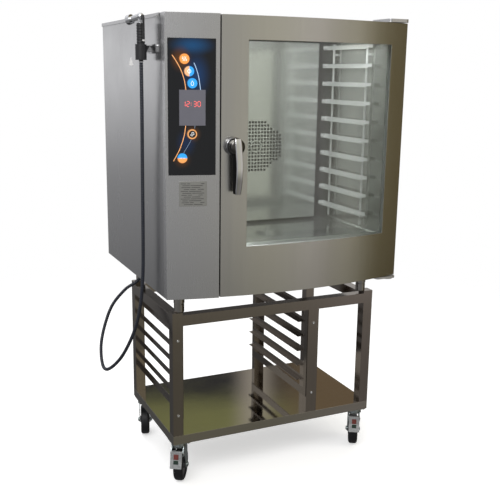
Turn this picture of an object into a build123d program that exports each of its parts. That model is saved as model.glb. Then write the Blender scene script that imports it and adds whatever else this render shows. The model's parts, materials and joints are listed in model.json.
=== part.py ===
from build123d import *

import os
from math import asin, cos, radians, sin, sqrt

# A ten-tray combi steamer oven standing on a wheeled tray stand.
# Millimetres. X to the right, Y to the back, Z up.
# The origin is on the floor, under the middle of the stand.

# ---------------------------------------------------------------- oven body
HALF_W = 470.0  # half the body's width
FRONT_Y = -330.0  # where the bowed front meets the body's sides
BACK_Y = 445.0
UNDER = 765.0  # underside of the oven body
TOP = 1720.0
BOW = 64.0  # how far the front bulges at its middle
SHEET = 2.0  # sheet metal
GAP = 0.2  # air between sheets that only lie together

BOW_R = (HALF_W**2 + BOW**2) / (2 * BOW)
BOW_Y = FRONT_Y - BOW + BOW_R  # axis of the bow, a long way behind the front

LID_H = 12.0
LID_OVER = 3.0
RETURN_Y = -302.0  # back edge of the fascia's return on the left side

# ---------------------------------------------------------------- cavity
CAVITY_X = (-236.0, 423.0)
CAVITY_Z = (915.0, 1670.0)
FRAME_Y = -280.0  # front frame that the door closes against
CAVITY_BACK = 265.0
CAVITY_MID = sum(CAVITY_X) / 2
CAVITY_CORNER = 20.0
JACKET_X = (-284.0, 462.0)
JACKET_Z = (880.0, 1712.0)
JACKET_BACK = 300.0
GASKET_W = 6.0
GASKET_Y = -290.0

# ---------------------------------------------------------------- door
DOOR_X = (-288.0, HALF_W)
DOOR_Z = (UNDER + 2, TOP - 2)
FASCIA_X = (-HALF_W, -292.5)
DOOR_BACK = GASKET_Y - 0.3
WINDOW_X = (-196.0, 390.0)
WINDOW_Z = (943.0, 1640.0)
OUTER_GLASS = 6.0
GLASS_LAP = 10.0  # how far the outer pane reaches behind the skin
INNER_X = (-222.0, 418.0)
INNER_Z = (935.0, 1650.0)
HINGE_X = 447.0
HINGE_Y = -315.0
HINGE_PIN_R = 8.0
RUNNING = 0.05  # radial clearance of a turning fit

# ---------------------------------------------------------------- handle
HANDLE_X = -249.0
HANDLE_Z = 1293.0
BOSS_FACE = -396.0
SPINDLE_R = 5.0
COLLAR_R = 10.0
LEVER_W = 24.0
LEVER_DROP = 158.0
BOSS_R = 31.0
LATCH_REACH = 31.0  # from the spindle to the end of the latch tongue

# ---------------------------------------------------------------- controls
GLASS_X = (-461.0, -307.0)
GLASS_Z = (1197.0, 1640.0)
GLASS_PROUD = 1.2
GLASS_T = 4.2
SCREEN_X = (-426.0, -341.0)
SCREEN_Z = (1361.0, 1477.0)
LABEL_X = (-428.0, -336.0)
LABEL_Z = (1091.0, 1176.0)
KEY_R = 17.2
KEY_HOLE_R = 17.3
KEYS = {
    "key_convection": (-409.0, 1575.0),
    "key_combi": (-394.0, 1536.0),
    "key_steam": (-384.0, 1498.0),
    "key_program": (-385.0, 1333.0),
    "key_power": (-417.0, 1254.0),
}

# ---------------------------------------------------------------- air, steam and water
FAN_X = 79.0
FAN_Z = 1238.0
FAN_R = 150.0
FAN_Y = (165.0, 235.0)
SHAFT_R = 8.0
BAFFLE_X = (-189.0, 365.0)
BAFFLE_Z = (927.0, 1658.0)
BAFFLE_Y = 135.0
INTAKE_HALF = (113.0, 106.0)
INTAKE_PITCH = 14.0
INTAKE_HOLE = 9.5
INTAKE_RING = 26.0
ELEMENT_R = 185.0
ELEMENT_ROD = 4.25
DRAIN_X = 52.0
DRAIN_Y = -40.0
DRAIN_Z = 835.0
DRAIN_R = 25.0
VENT_X = -150.0
VENT_Y = 200.0
VENT_R = 30.0
VENT_BORE = 27.0
VENT_TOP = 1750.0
DAMPER_Z = 1700.0
DAMPER_AXLE_R = 3.0
STEAM_Z = 1330.0
STEAM_Y = 215.0
VALVE_X = (-420.0, -350.0)
VALVE_Z = 830.0
INLET_R = 13.2
GLAND_X = -280.0
LAMP_Y = -150.0
LAMP_R = 40.0

# ---------------------------------------------------------------- racks in the cavity
RAIL_COUNT = 10
RAIL_PITCH = 72.0
RAIL_Z = 993.0
RAIL_Y = (-209.0, 128.0)
RAIL_LEDGE = 20.0
RACK_WEB = 308.0  # from the cavity's middle to a rail's upright web
RACK_POSTS = (-165.0, 84.0)

# ---------------------------------------------------------------- hand shower
SHOWER_X = -505.0
SHOWER_Y = -188.0
CUP_Z = (1571.0, 1622.0)
CUP_R = 19.0
GRIP_R = 14.0
GRIP_TOP = 1690.0
HOSE_R = 6.5
TRIGGER_PIVOT = (SHOWER_Y - 16.0, 1706.0)

# ---------------------------------------------------------------- stand
STAND_X = 425.0
STAND_Y = 255.0
TUBE = 40.0
WALL = 1.5
POST_TOP = 687.0
RAIL_TOP = 677.0
SHELF_TOP = 209.0
STAND_UNDER = 175.0
DIVIDER_X = (134.0, 180.0)
UPRIGHT_DEPTH = 26.0
RUNNER_COUNT = 6
RUNNER_PITCH = 61.0
RUNNER_Z = 353.0
RUNNER_LEDGE = 18.0
RUNNER_START = -205.0  # front end of the ledges, behind the front posts
RUNNER_WEB = 22.0
FOOT_X = (-392.0, 379.0)
FOOT_Y = (-234.0, 234.0)
FOOT_R = 20.0

# ---------------------------------------------------------------- casters
CASTER_XY = (389.0, 216.0)
PLATE_HALF = 35.0
WHEEL_R = 62.5
WHEEL_W = 36.0
TRAIL = 26.0  # from the swivel axis back to the wheel's axle
AXLE_R = 5.0
KING_R = 8.0
FORK_IN = 21.0
FORK_T = 3.0
PEDAL_PIN = (-34.0, 135.0)  # y from the swivel axis, and z
PEDAL_PIN_R = 4.0
PEDAL_W = 44.0
CASTERS = {  # side in x, side in y, and how far it stands swivelled in degrees
    "front_left": (-1, -1, 32),
    "front_right": (1, -1, 30),
    "rear_left": (-1, 1, 17),
    "rear_right": (1, 1, 24),
}
BRAKED = ("front_left", "front_right")


# ================================================================ helpers
def block(x, y, z):
    """A box from three (low, high) pairs."""
    spans = (x, y, z)
    size = [high - low for low, high in spans]
    middle = [(high + low) / 2 for low, high in spans]
    return Pos(*middle) * Box(*size)


def grown(span, by):
    """A (low, high) pair, wider by the same amount at both ends."""
    return (span[0] - by, span[1] + by)


def rod(start, end, radius):
    """A round bar between two points."""
    along = Vector(*end) - Vector(*start)
    bar = Cylinder(radius, along.length, align=(Align.CENTER, Align.CENTER, Align.MIN))
    return Plane(origin=start, z_dir=along) * bar


def rounded(shape, axis, radius):
    """The shape with its edges along one axis rounded."""
    return fillet(shape.edges().filter_by(axis), radius)


def bow_column(radius):
    """The upright cylinder whose front is the bowed front of the oven."""
    return Pos(0, BOW_Y, (UNDER + TOP) / 2) * Cylinder(radius, TOP - UNDER + 80)


def bow_y(x, radius=BOW_R):
    """Y of the bowed front at x."""
    return BOW_Y - sqrt(radius**2 - x**2)


def bow_shell(x, z, inner, outer):
    """A curved plate that follows the front, between two radii."""
    front = block(x, (FRONT_Y - BOW - 20, RETURN_Y), z)
    return (front & bow_column(outer)) - bow_column(inner)


def bow_normal(x):
    """Outward direction of the front at x."""
    angle = asin(x / BOW_R)
    return (sin(angle), -cos(angle))


def on_bow(x, z, out):
    """A point standing out from the front by a distance."""
    nx, ny = bow_normal(x)
    return (x + nx * out, bow_y(x) + ny * out, z)


def bow_rod(x, z, low, high, radius):
    """A round bar square to the front, between two heights above it."""
    return rod(on_bow(x, z, low), on_bow(x, z, high), radius)


def prism_x(x, outline):
    """A flat outline of (y, z) points, thick between two x values."""
    wire = Polyline(*[(x[0], y, z) for y, z in outline], close=True)
    return extrude(make_face(wire), amount=x[1] - x[0], dir=(1, 0, 0))


def prism_z(z, outline):
    """A flat outline of (x, y) points, thick between two z values."""
    wire = Polyline(*[(x, y, z[0]) for x, y in outline], close=True)
    return extrude(make_face(wire), amount=z[1] - z[0], dir=(0, 0, 1))


def mirrored(shape, middle):
    """The shape seen in an upright mirror across X."""
    return shape.mirror(Plane(origin=(middle, 0, 0), z_dir=(1, 0, 0)))


def group(shapes):
    """Separate solids that share one node."""
    solids = []
    for shape in shapes:
        solids.extend(shape.solids())
    return Compound(children=solids)


# ================================================================ casing
def top_panel():
    x = (-HALF_W - LID_OVER, HALF_W + LID_OVER)
    y = (FRAME_Y, BACK_Y + LID_OVER)
    lid = block(x, y, (TOP - LID_H, TOP))
    lid -= block(grown(x, -SHEET), (y[0] - 1, y[1] - SHEET), (TOP - LID_H - 1, TOP - SHEET))
    return lid - rod((VENT_X, VENT_Y, TOP - 10), (VENT_X, VENT_Y, TOP + 10), VENT_R + 1)


def left_side_panel():
    """Flat skin with a folded front edge behind the fascia."""
    x, front = -HALF_W, RETURN_Y + 1
    skin = block((x, x + SHEET), (front, BACK_Y), (UNDER, TOP - SHEET))
    return skin + block((x, x + 18), (front, front + SHEET), (UNDER + 4, TOP - 6))


def right_side_panel():
    return block((HALF_W - SHEET, HALF_W), (FRAME_Y, BACK_Y), (UNDER, TOP - SHEET))


def louvre(x, z):
    """One pressed air slot: the hood, and the air space under it that opens downwards."""
    start = BACK_Y - SHEET / 2
    hood = prism_x(grown((x, x), 42), [(start, z + 10), (BACK_Y + 6, z), (start, z)])
    inside = [(start - SHEET, z + 7), (start, z + 7), (BACK_Y + 4, z - 1), (start - SHEET, z - 1)]
    return hood, prism_x(grown((x, x), 40), inside)


def rear_panel():
    panel = block(grown((-HALF_W, HALF_W), -SHEET), (BACK_Y - SHEET, BACK_Y), (UNDER + 2, TOP - SHEET))
    for x in (-370, -270, 300, 400):
        for row in range(8):
            hood, space = louvre(x, 1380 + 22 * row)
            panel += hood
            panel -= space
    panel -= rod((DRAIN_X, BACK_Y - 9, DRAIN_Z), (DRAIN_X, BACK_Y + 9, DRAIN_Z), DRAIN_R + 2)
    for x in VALVE_X:
        panel -= rod((x, BACK_Y - 9, VALVE_Z), (x, BACK_Y + 9, VALVE_Z), INLET_R + 1)
    gland = rod((GLAND_X, BACK_Y, VALVE_Z), (GLAND_X, BACK_Y + 14, VALVE_Z), 15)
    return panel + gland - rod((GLAND_X, BACK_Y - 9, VALVE_Z), (GLAND_X, BACK_Y + 20, VALVE_Z), 9)


def base_pan():
    pan = block(grown((-HALF_W, HALF_W), -SHEET), (FRAME_Y, BACK_Y - SHEET), (UNDER, UNDER + SHEET))
    end_x, end_y, _ = HOSE_PATH[-1]
    return pan - rod((end_x, end_y, UNDER - 9), (end_x, end_y, UNDER + 9), HOSE_R + 1)


def control_fascia():
    z = (UNDER, TOP)
    wrap = block(FASCIA_X, (FRONT_Y - BOW - 20, FRAME_Y), z) & bow_column(BOW_R)
    hollow = block(grown(FASCIA_X, -SHEET), (FRONT_Y - BOW - 20, FRAME_Y + 1), grown(z, -SHEET))
    wrap -= hollow & bow_column(BOW_R - SHEET)
    wrap -= block((-HALF_W - 1, -HALF_W + SHEET + 0.5), (RETURN_Y, FRAME_Y + 1), grown(z, 1))
    inner, outer = BOW_R - GLASS_T - SHEET + GLASS_PROUD, BOW_R - SHEET
    ledge = bow_shell(grown(GLASS_X, 5), grown(GLASS_Z, 6), inner, outer)
    ledge -= bow_shell(grown(GLASS_X, -8), grown(GLASS_Z, -8), inner - 5, outer + 5)
    seat = bow_shell(grown(GLASS_X, 0.3), grown(GLASS_Z, 0.3), BOW_R - GLASS_T + GLASS_PROUD, BOW_R + 5)
    return wrap + ledge - seat


def label_plate():
    return bow_shell(LABEL_X, LABEL_Z, BOW_R, BOW_R + 0.8)


def hinge_brackets():
    x = (380.0, 468.0)
    y = (-346.0, -226.0)
    upper = block(x, y, (TOP, TOP + 12))
    upper = rounded(upper, Axis.Z, 14)
    upper += rod((HINGE_X, HINGE_Y, TOP + 12), (HINGE_X, HINGE_Y, TOP - 26), HINGE_PIN_R)
    lower = rounded(block(x, (y[0], FRAME_Y + 12), (UNDER - 8, UNDER)), Axis.Z, 14)
    lower += rod((HINGE_X, HINGE_Y, UNDER - 14), (HINGE_X, HINGE_Y, UNDER - 8), 21)
    lower += rod((HINGE_X, HINGE_Y, UNDER), (HINGE_X, HINGE_Y, UNDER + 26), HINGE_PIN_R)
    return group([upper, lower])


def latch_keeper():
    plate = block((-291, -276), (FRAME_Y - 1.9, FRAME_Y), (HANDLE_Z - 26, HANDLE_Z + 26))
    return plate + block((-291, -276), (FRAME_Y - 9, FRAME_Y), (HANDLE_Z + 9, HANDLE_Z + 22))


def oven_feet():
    feet = []
    for x in FOOT_X:
        for y in FOOT_Y:
            foot = rod((x, y, UNDER), (x, y, UNDER - 5), FOOT_R + 5)
            foot += rod((x, y, UNDER - 5), (x, y, POST_TOP + 34), FOOT_R)
            foot += rod((x, y, POST_TOP + 34), (x, y, POST_TOP + 30), FOOT_R - 5)
            lower = rod((x, y, POST_TOP + 30), (x, y, POST_TOP), FOOT_R - 1)
            foot += chamfer(lower.edges().group_by(Axis.Z)[0], 2)
            feet.append(foot)
    return group(feet)


# ================================================================ cavity
def cavity_box(grow, front, back):
    shape = block(grown(CAVITY_X, grow), (front, back), grown(CAVITY_Z, grow))
    return rounded(shape, Axis.Y, CAVITY_CORNER + grow)


def cavity_liner():
    liner = cavity_box(SHEET, FRAME_Y, CAVITY_BACK + SHEET)
    frame = block((-290, HALF_W - SHEET), (FRAME_Y, FRAME_Y + SHEET), (UNDER + 2, TOP - SHEET))
    liner += frame
    liner -= cavity_box(0, FRAME_Y - 1, CAVITY_BACK)
    liner -= rod((FAN_X, CAVITY_BACK - 5, FAN_Z), (FAN_X, CAVITY_BACK + 9, FAN_Z), SHAFT_R + 3)
    liner -= rod((DRAIN_X, DRAIN_Y, CAVITY_Z[0] - 9), (DRAIN_X, DRAIN_Y, CAVITY_Z[0] + 9), DRAIN_R - 3)
    liner -= rod((VENT_X, VENT_Y, CAVITY_Z[1] - 9), (VENT_X, VENT_Y, CAVITY_Z[1] + 9), VENT_BORE)
    liner -= rod((CAVITY_MID, LAMP_Y, CAVITY_Z[1] - 9), (CAVITY_MID, LAMP_Y, CAVITY_Z[1] + 9), LAMP_R + GAP)
    liner -= rod((CAVITY_X[0] - 9, STEAM_Y, STEAM_Z), (CAVITY_X[0] + 9, STEAM_Y, STEAM_Z), 12.5)
    for x, z in element_ends():
        liner -= rod((x, CAVITY_BACK - 5, z), (x, CAVITY_BACK + 9, z), ELEMENT_ROD + 0.5)
    return liner


def insulation_jacket():
    jacket = block(JACKET_X, (FRAME_Y + SHEET + 1, JACKET_BACK), JACKET_Z)
    jacket -= cavity_box(SHEET + 0.5, FRAME_Y - 9, CAVITY_BACK + SHEET + 0.5)
    jacket -= block((FAN_X - 90, FAN_X + 90), (CAVITY_BACK, JACKET_BACK + 9), (FAN_Z - 90, FAN_Z + 90))
    jacket -= rod((DRAIN_X, DRAIN_Y, JACKET_Z[0] - 9), (DRAIN_X, DRAIN_Y, CAVITY_Z[0]), 36)
    jacket -= rod((VENT_X, VENT_Y, CAVITY_Z[1]), (VENT_X, VENT_Y, JACKET_Z[1] + 9), 52)
    jacket -= rod((CAVITY_MID, LAMP_Y, CAVITY_Z[1]), (CAVITY_MID, LAMP_Y, JACKET_Z[1] + 9), LAMP_R + 14)
    jacket -= rod((JACKET_X[0] - 9, STEAM_Y, STEAM_Z), (CAVITY_X[0], STEAM_Y, STEAM_Z), 13.5)
    for x, z in element_ends():
        jacket -= rod((x, CAVITY_BACK, z), (x, JACKET_BACK + 9, z), 8)
    return jacket


def intake_holes():
    """Square holes on a grid, inside an upright octagon."""
    half_x, half_z = INTAKE_HALF
    reach = int(half_x // INTAKE_PITCH) + 1
    holes = []
    for column in range(-reach, reach + 1):
        for row in range(-reach, reach + 1):
            x, z = column * INTAKE_PITCH, row * INTAKE_PITCH
            inside = abs(x) <= half_x and abs(z) <= half_z
            corner = abs(x) / half_x + abs(z) / half_z <= 1.4
            if inside and corner:
                holes.append((x, z))
    return holes


def fan_baffle():
    width, height = BAFFLE_X[1] - BAFFLE_X[0], BAFFLE_Z[1] - BAFFLE_Z[0]
    middle_x, middle_z = sum(BAFFLE_X) / 2, sum(BAFFLE_Z) / 2
    sheet = Rectangle(width, height)
    sheet -= [
        Pos(FAN_X - middle_x + x, FAN_Z - middle_z + z) * Rectangle(INTAKE_HOLE, INTAKE_HOLE)
        for x, z in intake_holes()
    ]
    face = Plane(origin=(middle_x, BAFFLE_Y, middle_z), x_dir=(1, 0, 0), z_dir=(0, -1, 0))
    baffle = extrude(face * sheet, amount=-SHEET)
    for x, lean in ((BAFFLE_X[0], -14), (BAFFLE_X[1], 14)):
        wing = [
            (x, BAFFLE_Y),
            (x + lean, BAFFLE_Y + 30),
            (x + lean, BAFFLE_Y + 32),
            (x - lean / 7, BAFFLE_Y + SHEET),
        ]
        baffle += prism_z(BAFFLE_Z, wing)
    for x in grown(BAFFLE_X, -40):
        for z in grown(BAFFLE_Z, -50):
            baffle += rod((x, BAFFLE_Y + SHEET, z), (x, CAVITY_BACK, z), 6)
            baffle += rod((x, BAFFLE_Y - 5, z), (x, BAFFLE_Y, z), 9)
    ring = rod((FAN_X, BAFFLE_Y - 4, FAN_Z), (FAN_X, BAFFLE_Y + SHEET, FAN_Z), INTAKE_RING)
    ring -= rod((FAN_X, BAFFLE_Y - 9, FAN_Z), (FAN_X, BAFFLE_Y + 9, FAN_Z), INTAKE_RING - 4)
    return baffle + ring


def drain_strainer():
    z = CAVITY_Z[0]
    dish = rod((DRAIN_X, DRAIN_Y, z), (DRAIN_X, DRAIN_Y, z + 2), 60)
    dish += rod((DRAIN_X, DRAIN_Y, z + 2), (DRAIN_X, DRAIN_Y, z + 9), 44)
    dish -= rod((DRAIN_X, DRAIN_Y, z - 1), (DRAIN_X, DRAIN_Y, z + 7), 42)
    slots = PolarLocations(31, 12)
    for place in slots:
        slot = Pos(DRAIN_X, DRAIN_Y, z + 8) * place * Box(16, 4, 8)
        dish -= slot
    return dish + rod((DRAIN_X, DRAIN_Y, z + 7), (DRAIN_X, DRAIN_Y, z + 20), 7)


def tray_rack():
    """Right-hand rack: ledges for ten trays, on two posts that hang from the wall."""
    web = CAVITY_MID + RACK_WEB
    rack = None
    for y in RACK_POSTS:
        post = rod((web + 6.5, y, CAVITY_Z[0] + 25), (web + 6.5, y, CAVITY_Z[1] - 18), 5)
        for z in (CAVITY_Z[0] + 60, CAVITY_Z[1] - 60):
            post += rod((web + 6.5, y, z), (CAVITY_X[1], y, z), 5)
        rack = post if rack is None else rack + post
    for number in range(RAIL_COUNT):
        z = RAIL_Z + number * RAIL_PITCH
        rack += block((web, web + 2), RAIL_Y, (z - 8, z + 5))
        rack += block((web - RAIL_LEDGE, web + 1), RAIL_Y, (z - 8, z - 6))
        rack += block((web - RAIL_LEDGE, web - RAIL_LEDGE + 2), RAIL_Y, (z - 12, z - 6))
        rack += block((web - RAIL_LEDGE, web + 2), (RAIL_Y[1] - 3, RAIL_Y[1]), (z - 8, z + 5))
    return rack


def left_rack():
    return mirrored(tray_rack(), CAVITY_MID)


def cavity_lamp():
    z = CAVITY_Z[1]
    lens = rod((CAVITY_MID, LAMP_Y, z - 6), (CAVITY_MID, LAMP_Y, z + 36), LAMP_R)
    lens = chamfer(lens.edges().group_by(Axis.Z)[0], 4)
    return lens + rod((CAVITY_MID, LAMP_Y, z + SHEET), (CAVITY_MID, LAMP_Y, z + 6), LAMP_R + 12)


def door_gasket():
    outer = cavity_box(GAP + GASKET_W, GASKET_Y, FRAME_Y)
    loop = outer - cavity_box(GAP, GASKET_Y - 1, FRAME_Y + 1)
    return chamfer(loop.edges().group_by(Axis.Y)[0], 1.5)


# ================================================================ air, steam and water
def fan_wheel():
    back = rod((FAN_X, FAN_Y[1] - 3, FAN_Z), (FAN_X, FAN_Y[1], FAN_Z), FAN_R)
    ring = rod((FAN_X, FAN_Y[0], FAN_Z), (FAN_X, FAN_Y[0] + 3, FAN_Z), FAN_R)
    ring -= rod((FAN_X, FAN_Y[0] - 1, FAN_Z), (FAN_X, FAN_Y[0] + 4, FAN_Z), FAN_R - 38)
    wheel = back + ring
    for turn in range(18):
        blade = Box(38, FAN_Y[1] - FAN_Y[0], 2.5)
        place = Pos(FAN_X, sum(FAN_Y) / 2, FAN_Z) * Rot(0, 20 * turn, 0) * Pos(FAN_R - 20, 0, 0)
        wheel += place * Rot(0, 28, 0) * blade
    wheel &= rod((FAN_X, FAN_Y[0], FAN_Z), (FAN_X, FAN_Y[1], FAN_Z), FAN_R)
    wheel += rod((FAN_X, FAN_Y[0] + 10, FAN_Z), (FAN_X, FAN_Y[1], FAN_Z), 24)
    return wheel + rod((FAN_X, FAN_Y[1], FAN_Z), (FAN_X, JACKET_BACK + 30, FAN_Z), SHAFT_R)


def fan_motor():
    start = JACKET_BACK + 1
    motor = rod((FAN_X, start + 4, FAN_Z), (FAN_X, start + 118, FAN_Z), 72)
    for row in range(6):
        y = start + 22 + row * 14
        motor += rod((FAN_X, y, FAN_Z), (FAN_X, y + 5, FAN_Z), 78)
    motor += block((FAN_X - 85, FAN_X + 85), (start, start + 5), (FAN_Z - 85, FAN_Z + 85))
    for x in (-74, 74):
        for z in (-74, 74):
            wall = CAVITY_BACK + SHEET
            motor += rod((FAN_X + x, wall, FAN_Z + z), (FAN_X + x, start + 9, FAN_Z + z), 5)
    shaft_hole = rod((FAN_X, start - 1, FAN_Z), (FAN_X, start + 40, FAN_Z), SHAFT_R + RUNNING)
    return motor - shaft_hole


def element_ends():
    """Where the heater's two legs pass through the cavity's rear wall."""
    return [(FAN_X - 36, FAN_Z + ELEMENT_R), (FAN_X + 36, FAN_Z + ELEMENT_R)]


def heating_element():
    loops = None
    rows = [FAN_Y[0] + 12 + 22 * row for row in range(3)]
    for y in rows:
        ring = Plane(origin=(FAN_X, y, FAN_Z), z_dir=(0, 1, 0)) * Torus(ELEMENT_R, ELEMENT_ROD)
        loops = ring if loops is None else loops + ring
    for angle in (0, 120, 240):
        x = FAN_X + ELEMENT_R * sin(radians(angle + 60))
        z = FAN_Z + ELEMENT_R * cos(radians(angle + 60))
        loops += block(grown((x, x), 7), (rows[0] - 7, rows[-1] + 7), grown((z, z), 7))
    drop = ELEMENT_R - sqrt(ELEMENT_R**2 - 36**2)
    for x, z in element_ends():
        loops += rod((x, rows[0], z), (x, JACKET_BACK + 14, z), ELEMENT_ROD)
        loops += block(grown((x, x), 6), (rows[0] - 6, rows[-1] + 6), (z - drop - 7, z + 6))
    return loops


def steam_generator():
    x, y = -372.0, STEAM_Y
    tank = rod((x, y, 880), (x, y, 1180), 62)
    tank = fillet(tank.edges().filter_by(GeomType.CIRCLE), 14)
    tank += rod((x, y, 1170), (x, y, STEAM_Z), 12)
    tank += Pos(x, y, STEAM_Z) * Sphere(12)
    tank += rod((x, y, STEAM_Z), (CAVITY_X[0] + 6, y, STEAM_Z), 12)
    inside = rod((x, y, 882), (x, y, 1178), 60)
    tank -= fillet(inside.edges().filter_by(GeomType.CIRCLE), 12)
    tank -= rod((x, y, 1170), (x, y, STEAM_Z), 10)
    tank -= rod((x - 7, y, STEAM_Z), (CAVITY_X[0] + 9, y, STEAM_Z), 9)
    for leg in (-40, 40):
        tank += block((x + leg - 5, x + leg + 5), (y - 5, y + 5), (UNDER + SHEET, 881.5))
    return tank


def drain_run(radius, start, finish):
    """Pipe down from the cavity floor, round the elbow and out of the back."""
    run = rod((DRAIN_X, DRAIN_Y, start), (DRAIN_X, DRAIN_Y, DRAIN_Z), radius)
    run += Pos(DRAIN_X, DRAIN_Y, DRAIN_Z) * Sphere(radius)
    return run + rod((DRAIN_X, DRAIN_Y, DRAIN_Z), (DRAIN_X, finish, DRAIN_Z), radius)


def drain_pipe():
    floor = CAVITY_Z[0] - SHEET
    end = BACK_Y + 40
    pipe = drain_run(DRAIN_R - 1, floor, BACK_Y + 2)
    pipe += rod((DRAIN_X, DRAIN_Y, floor - 4), (DRAIN_X, DRAIN_Y, floor), 35)
    pipe += rod((DRAIN_X, BACK_Y + 2, DRAIN_Z), (DRAIN_X, end, DRAIN_Z), DRAIN_R)
    return pipe - drain_run(DRAIN_R - 3, floor + 1, end + 1)


def vent_pipe():
    pipe = rod((VENT_X, VENT_Y, CAVITY_Z[1] + SHEET), (VENT_X, VENT_Y, VENT_TOP - 28), VENT_R - 1)
    pipe += rod((VENT_X, VENT_Y, VENT_TOP - 28), (VENT_X, VENT_Y, VENT_TOP), VENT_R)
    pipe += rod((VENT_X, VENT_Y, CAVITY_Z[1] + SHEET), (VENT_X, VENT_Y, CAVITY_Z[1] + 5), 44)
    pipe -= rod((VENT_X, VENT_Y, CAVITY_Z[1]), (VENT_X, VENT_Y, VENT_TOP + 1), VENT_BORE)
    axle_hole = rod(
        (VENT_X - 50, VENT_Y, DAMPER_Z), (VENT_X + 50, VENT_Y, DAMPER_Z), DAMPER_AXLE_R + RUNNING
    )
    return pipe - axle_hole


def vent_damper():
    flap = rod((VENT_X, VENT_Y, DAMPER_Z - 0.8), (VENT_X, VENT_Y, DAMPER_Z + 0.8), VENT_BORE - 0.1)
    flap += rod((VENT_X - 33, VENT_Y, DAMPER_Z), (VENT_X + 46, VENT_Y, DAMPER_Z), DAMPER_AXLE_R)
    arm = block((VENT_X + 40, VENT_X + 43), (VENT_Y - 4, VENT_Y + 4), (DAMPER_Z - 4, DAMPER_Z + 16))
    return flap + arm


def water_valves():
    valves = block(
        (VALVE_X[0] - 20, VALVE_X[1] + 20), (BACK_Y - 80, BACK_Y - 66), (VALVE_Z - 10, VALVE_Z + 10)
    )
    for x in VALVE_X:
        valves += rod((x, BACK_Y - 75, VALVE_Z), (x, BACK_Y - 5, VALVE_Z), 17)
        valves += rod((x, BACK_Y - 6, VALVE_Z), (x, BACK_Y, VALVE_Z), INLET_R - 1)
        valves += rod((x, BACK_Y, VALVE_Z), (x, BACK_Y + 20, VALVE_Z), INLET_R)
        valves += block((x - 16, x + 16), (BACK_Y - 60, BACK_Y - 24), (VALVE_Z + 10, VALVE_Z + 52))
        valves -= rod((x, BACK_Y - 30, VALVE_Z), (x, BACK_Y + 21, VALVE_Z), 9)
    return valves


# ================================================================ controls
def control_board():
    y = (-300.0, -298.0)
    board = block((-452, -318), y, (1215, 1625))
    for z in (1240, 1600):
        board += block((-318.5, FASCIA_X[1] - SHEET), y, (z - 12, z + 12))
    for index, (x, z) in enumerate(((-425, 1570), (-350, 1560), (-390, 1420), (-430, 1300), (-345, 1290))):
        tall = 14 + 4 * (index % 3)
        board += block((x - 14, x + 14), (y[1] - 0.5, y[1] + tall), (z - 22, z + 22))
    return board


def control_glass():
    inner, outer = BOW_R - GLASS_T + GLASS_PROUD, BOW_R + GLASS_PROUD
    glass = bow_shell(GLASS_X, GLASS_Z, inner, outer)
    glass -= bow_shell(grown(SCREEN_X, 0.2), grown(SCREEN_Z, 0.2), inner - 3, outer + 3)
    for x, z in KEYS.values():
        glass -= bow_rod(x, z, -12, 12, KEY_HOLE_R)
    return glass


def display_screen():
    inner, outer = BOW_R - GLASS_T + GLASS_PROUD, BOW_R + GLASS_PROUD + 0.5
    return bow_shell(SCREEN_X, SCREEN_Z, inner, outer)


def key_cap(name):
    x, z = KEYS[name]
    cap = bow_rod(x, z, -7, GLASS_PROUD + 1.1, KEY_R)
    ends = cap.faces().filter_by(GeomType.PLANE).sort_by(Axis.Y)
    return fillet(ends[0].edges(), 0.8)


# ================================================================ door
def door_body(x, z, radius, back, corner):
    """Everything between the bowed front and the flat back, less the hinge-side corner."""
    body = block(x, (FRONT_Y - BOW - 20, back), z) & bow_column(radius)
    return body - prism_z(grown(z, 1), corner)


def door_skin():
    back = DOOR_BACK - SHEET
    turn = HINGE_X - 1
    corner = [
        (turn, back), (HALF_W, back - 14), (HALF_W + 9, back - 14), (HALF_W + 9, back + 9), (turn, back + 9),
    ]
    inner_corner = [(x - 1.2, y - SHEET) for x, y in corner]
    skin = door_body(DOOR_X, DOOR_Z, BOW_R, back, corner)
    hollow_x = grown(DOOR_X, -SHEET)
    skin -= door_body(hollow_x, grown(DOOR_Z, -SHEET), BOW_R - SHEET, back + 1, inner_corner)
    skin -= block(WINDOW_X, (FRONT_Y - BOW - 20, FRONT_Y + 10), WINDOW_Z)
    for z in ((DOOR_Z[0], DOOR_Z[0] + 26), (DOOR_Z[1] - 26, DOOR_Z[1])):
        skin += block((HINGE_X - 20, HALF_W - 1), (HINGE_Y - 14, HINGE_Y + 14), z)
        skin -= rod((HINGE_X, HINGE_Y, z[0] - 1), (HINGE_X, HINGE_Y, z[1] + 1), HINGE_PIN_R + RUNNING)
    return skin - rod((HANDLE_X, -400, HANDLE_Z), (HANDLE_X, -340, HANDLE_Z), SPINDLE_R + 1)


def door_inner_pan():
    back = DOOR_BACK - SHEET
    pan = block((DOOR_X[0], HINGE_X - 1), (back, DOOR_BACK), DOOR_Z)
    channel_x, channel_z = grown(INNER_X, 12), grown(INNER_Z, 12)
    ring = block(channel_x, (FRONT_Y - BOW, back), channel_z) & bow_column(BOW_R - SHEET - GAP)
    ring -= block(grown(channel_x, -SHEET), (FRONT_Y - BOW - 9, back + 1), grown(channel_z, -SHEET))
    pan += ring
    window = block(INNER_X, (back - 1, DOOR_BACK + 1), INNER_Z)
    pan -= rounded(window, Axis.Y, 12)
    return pan - rod((HANDLE_X, -300, HANDLE_Z), (HANDLE_X, -280, HANDLE_Z), SPINDLE_R + RUNNING)


def door_outer_glass():
    outer = BOW_R - SHEET - GAP
    return bow_shell(grown(WINDOW_X, GLASS_LAP), grown(WINDOW_Z, GLASS_LAP), outer - OUTER_GLASS, outer)


def door_inner_glass():
    back = DOOR_BACK - SHEET
    return block(grown(INNER_X, 9.5), (back - 6, back - 0.1), grown(INNER_Z, 9.5))


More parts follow.
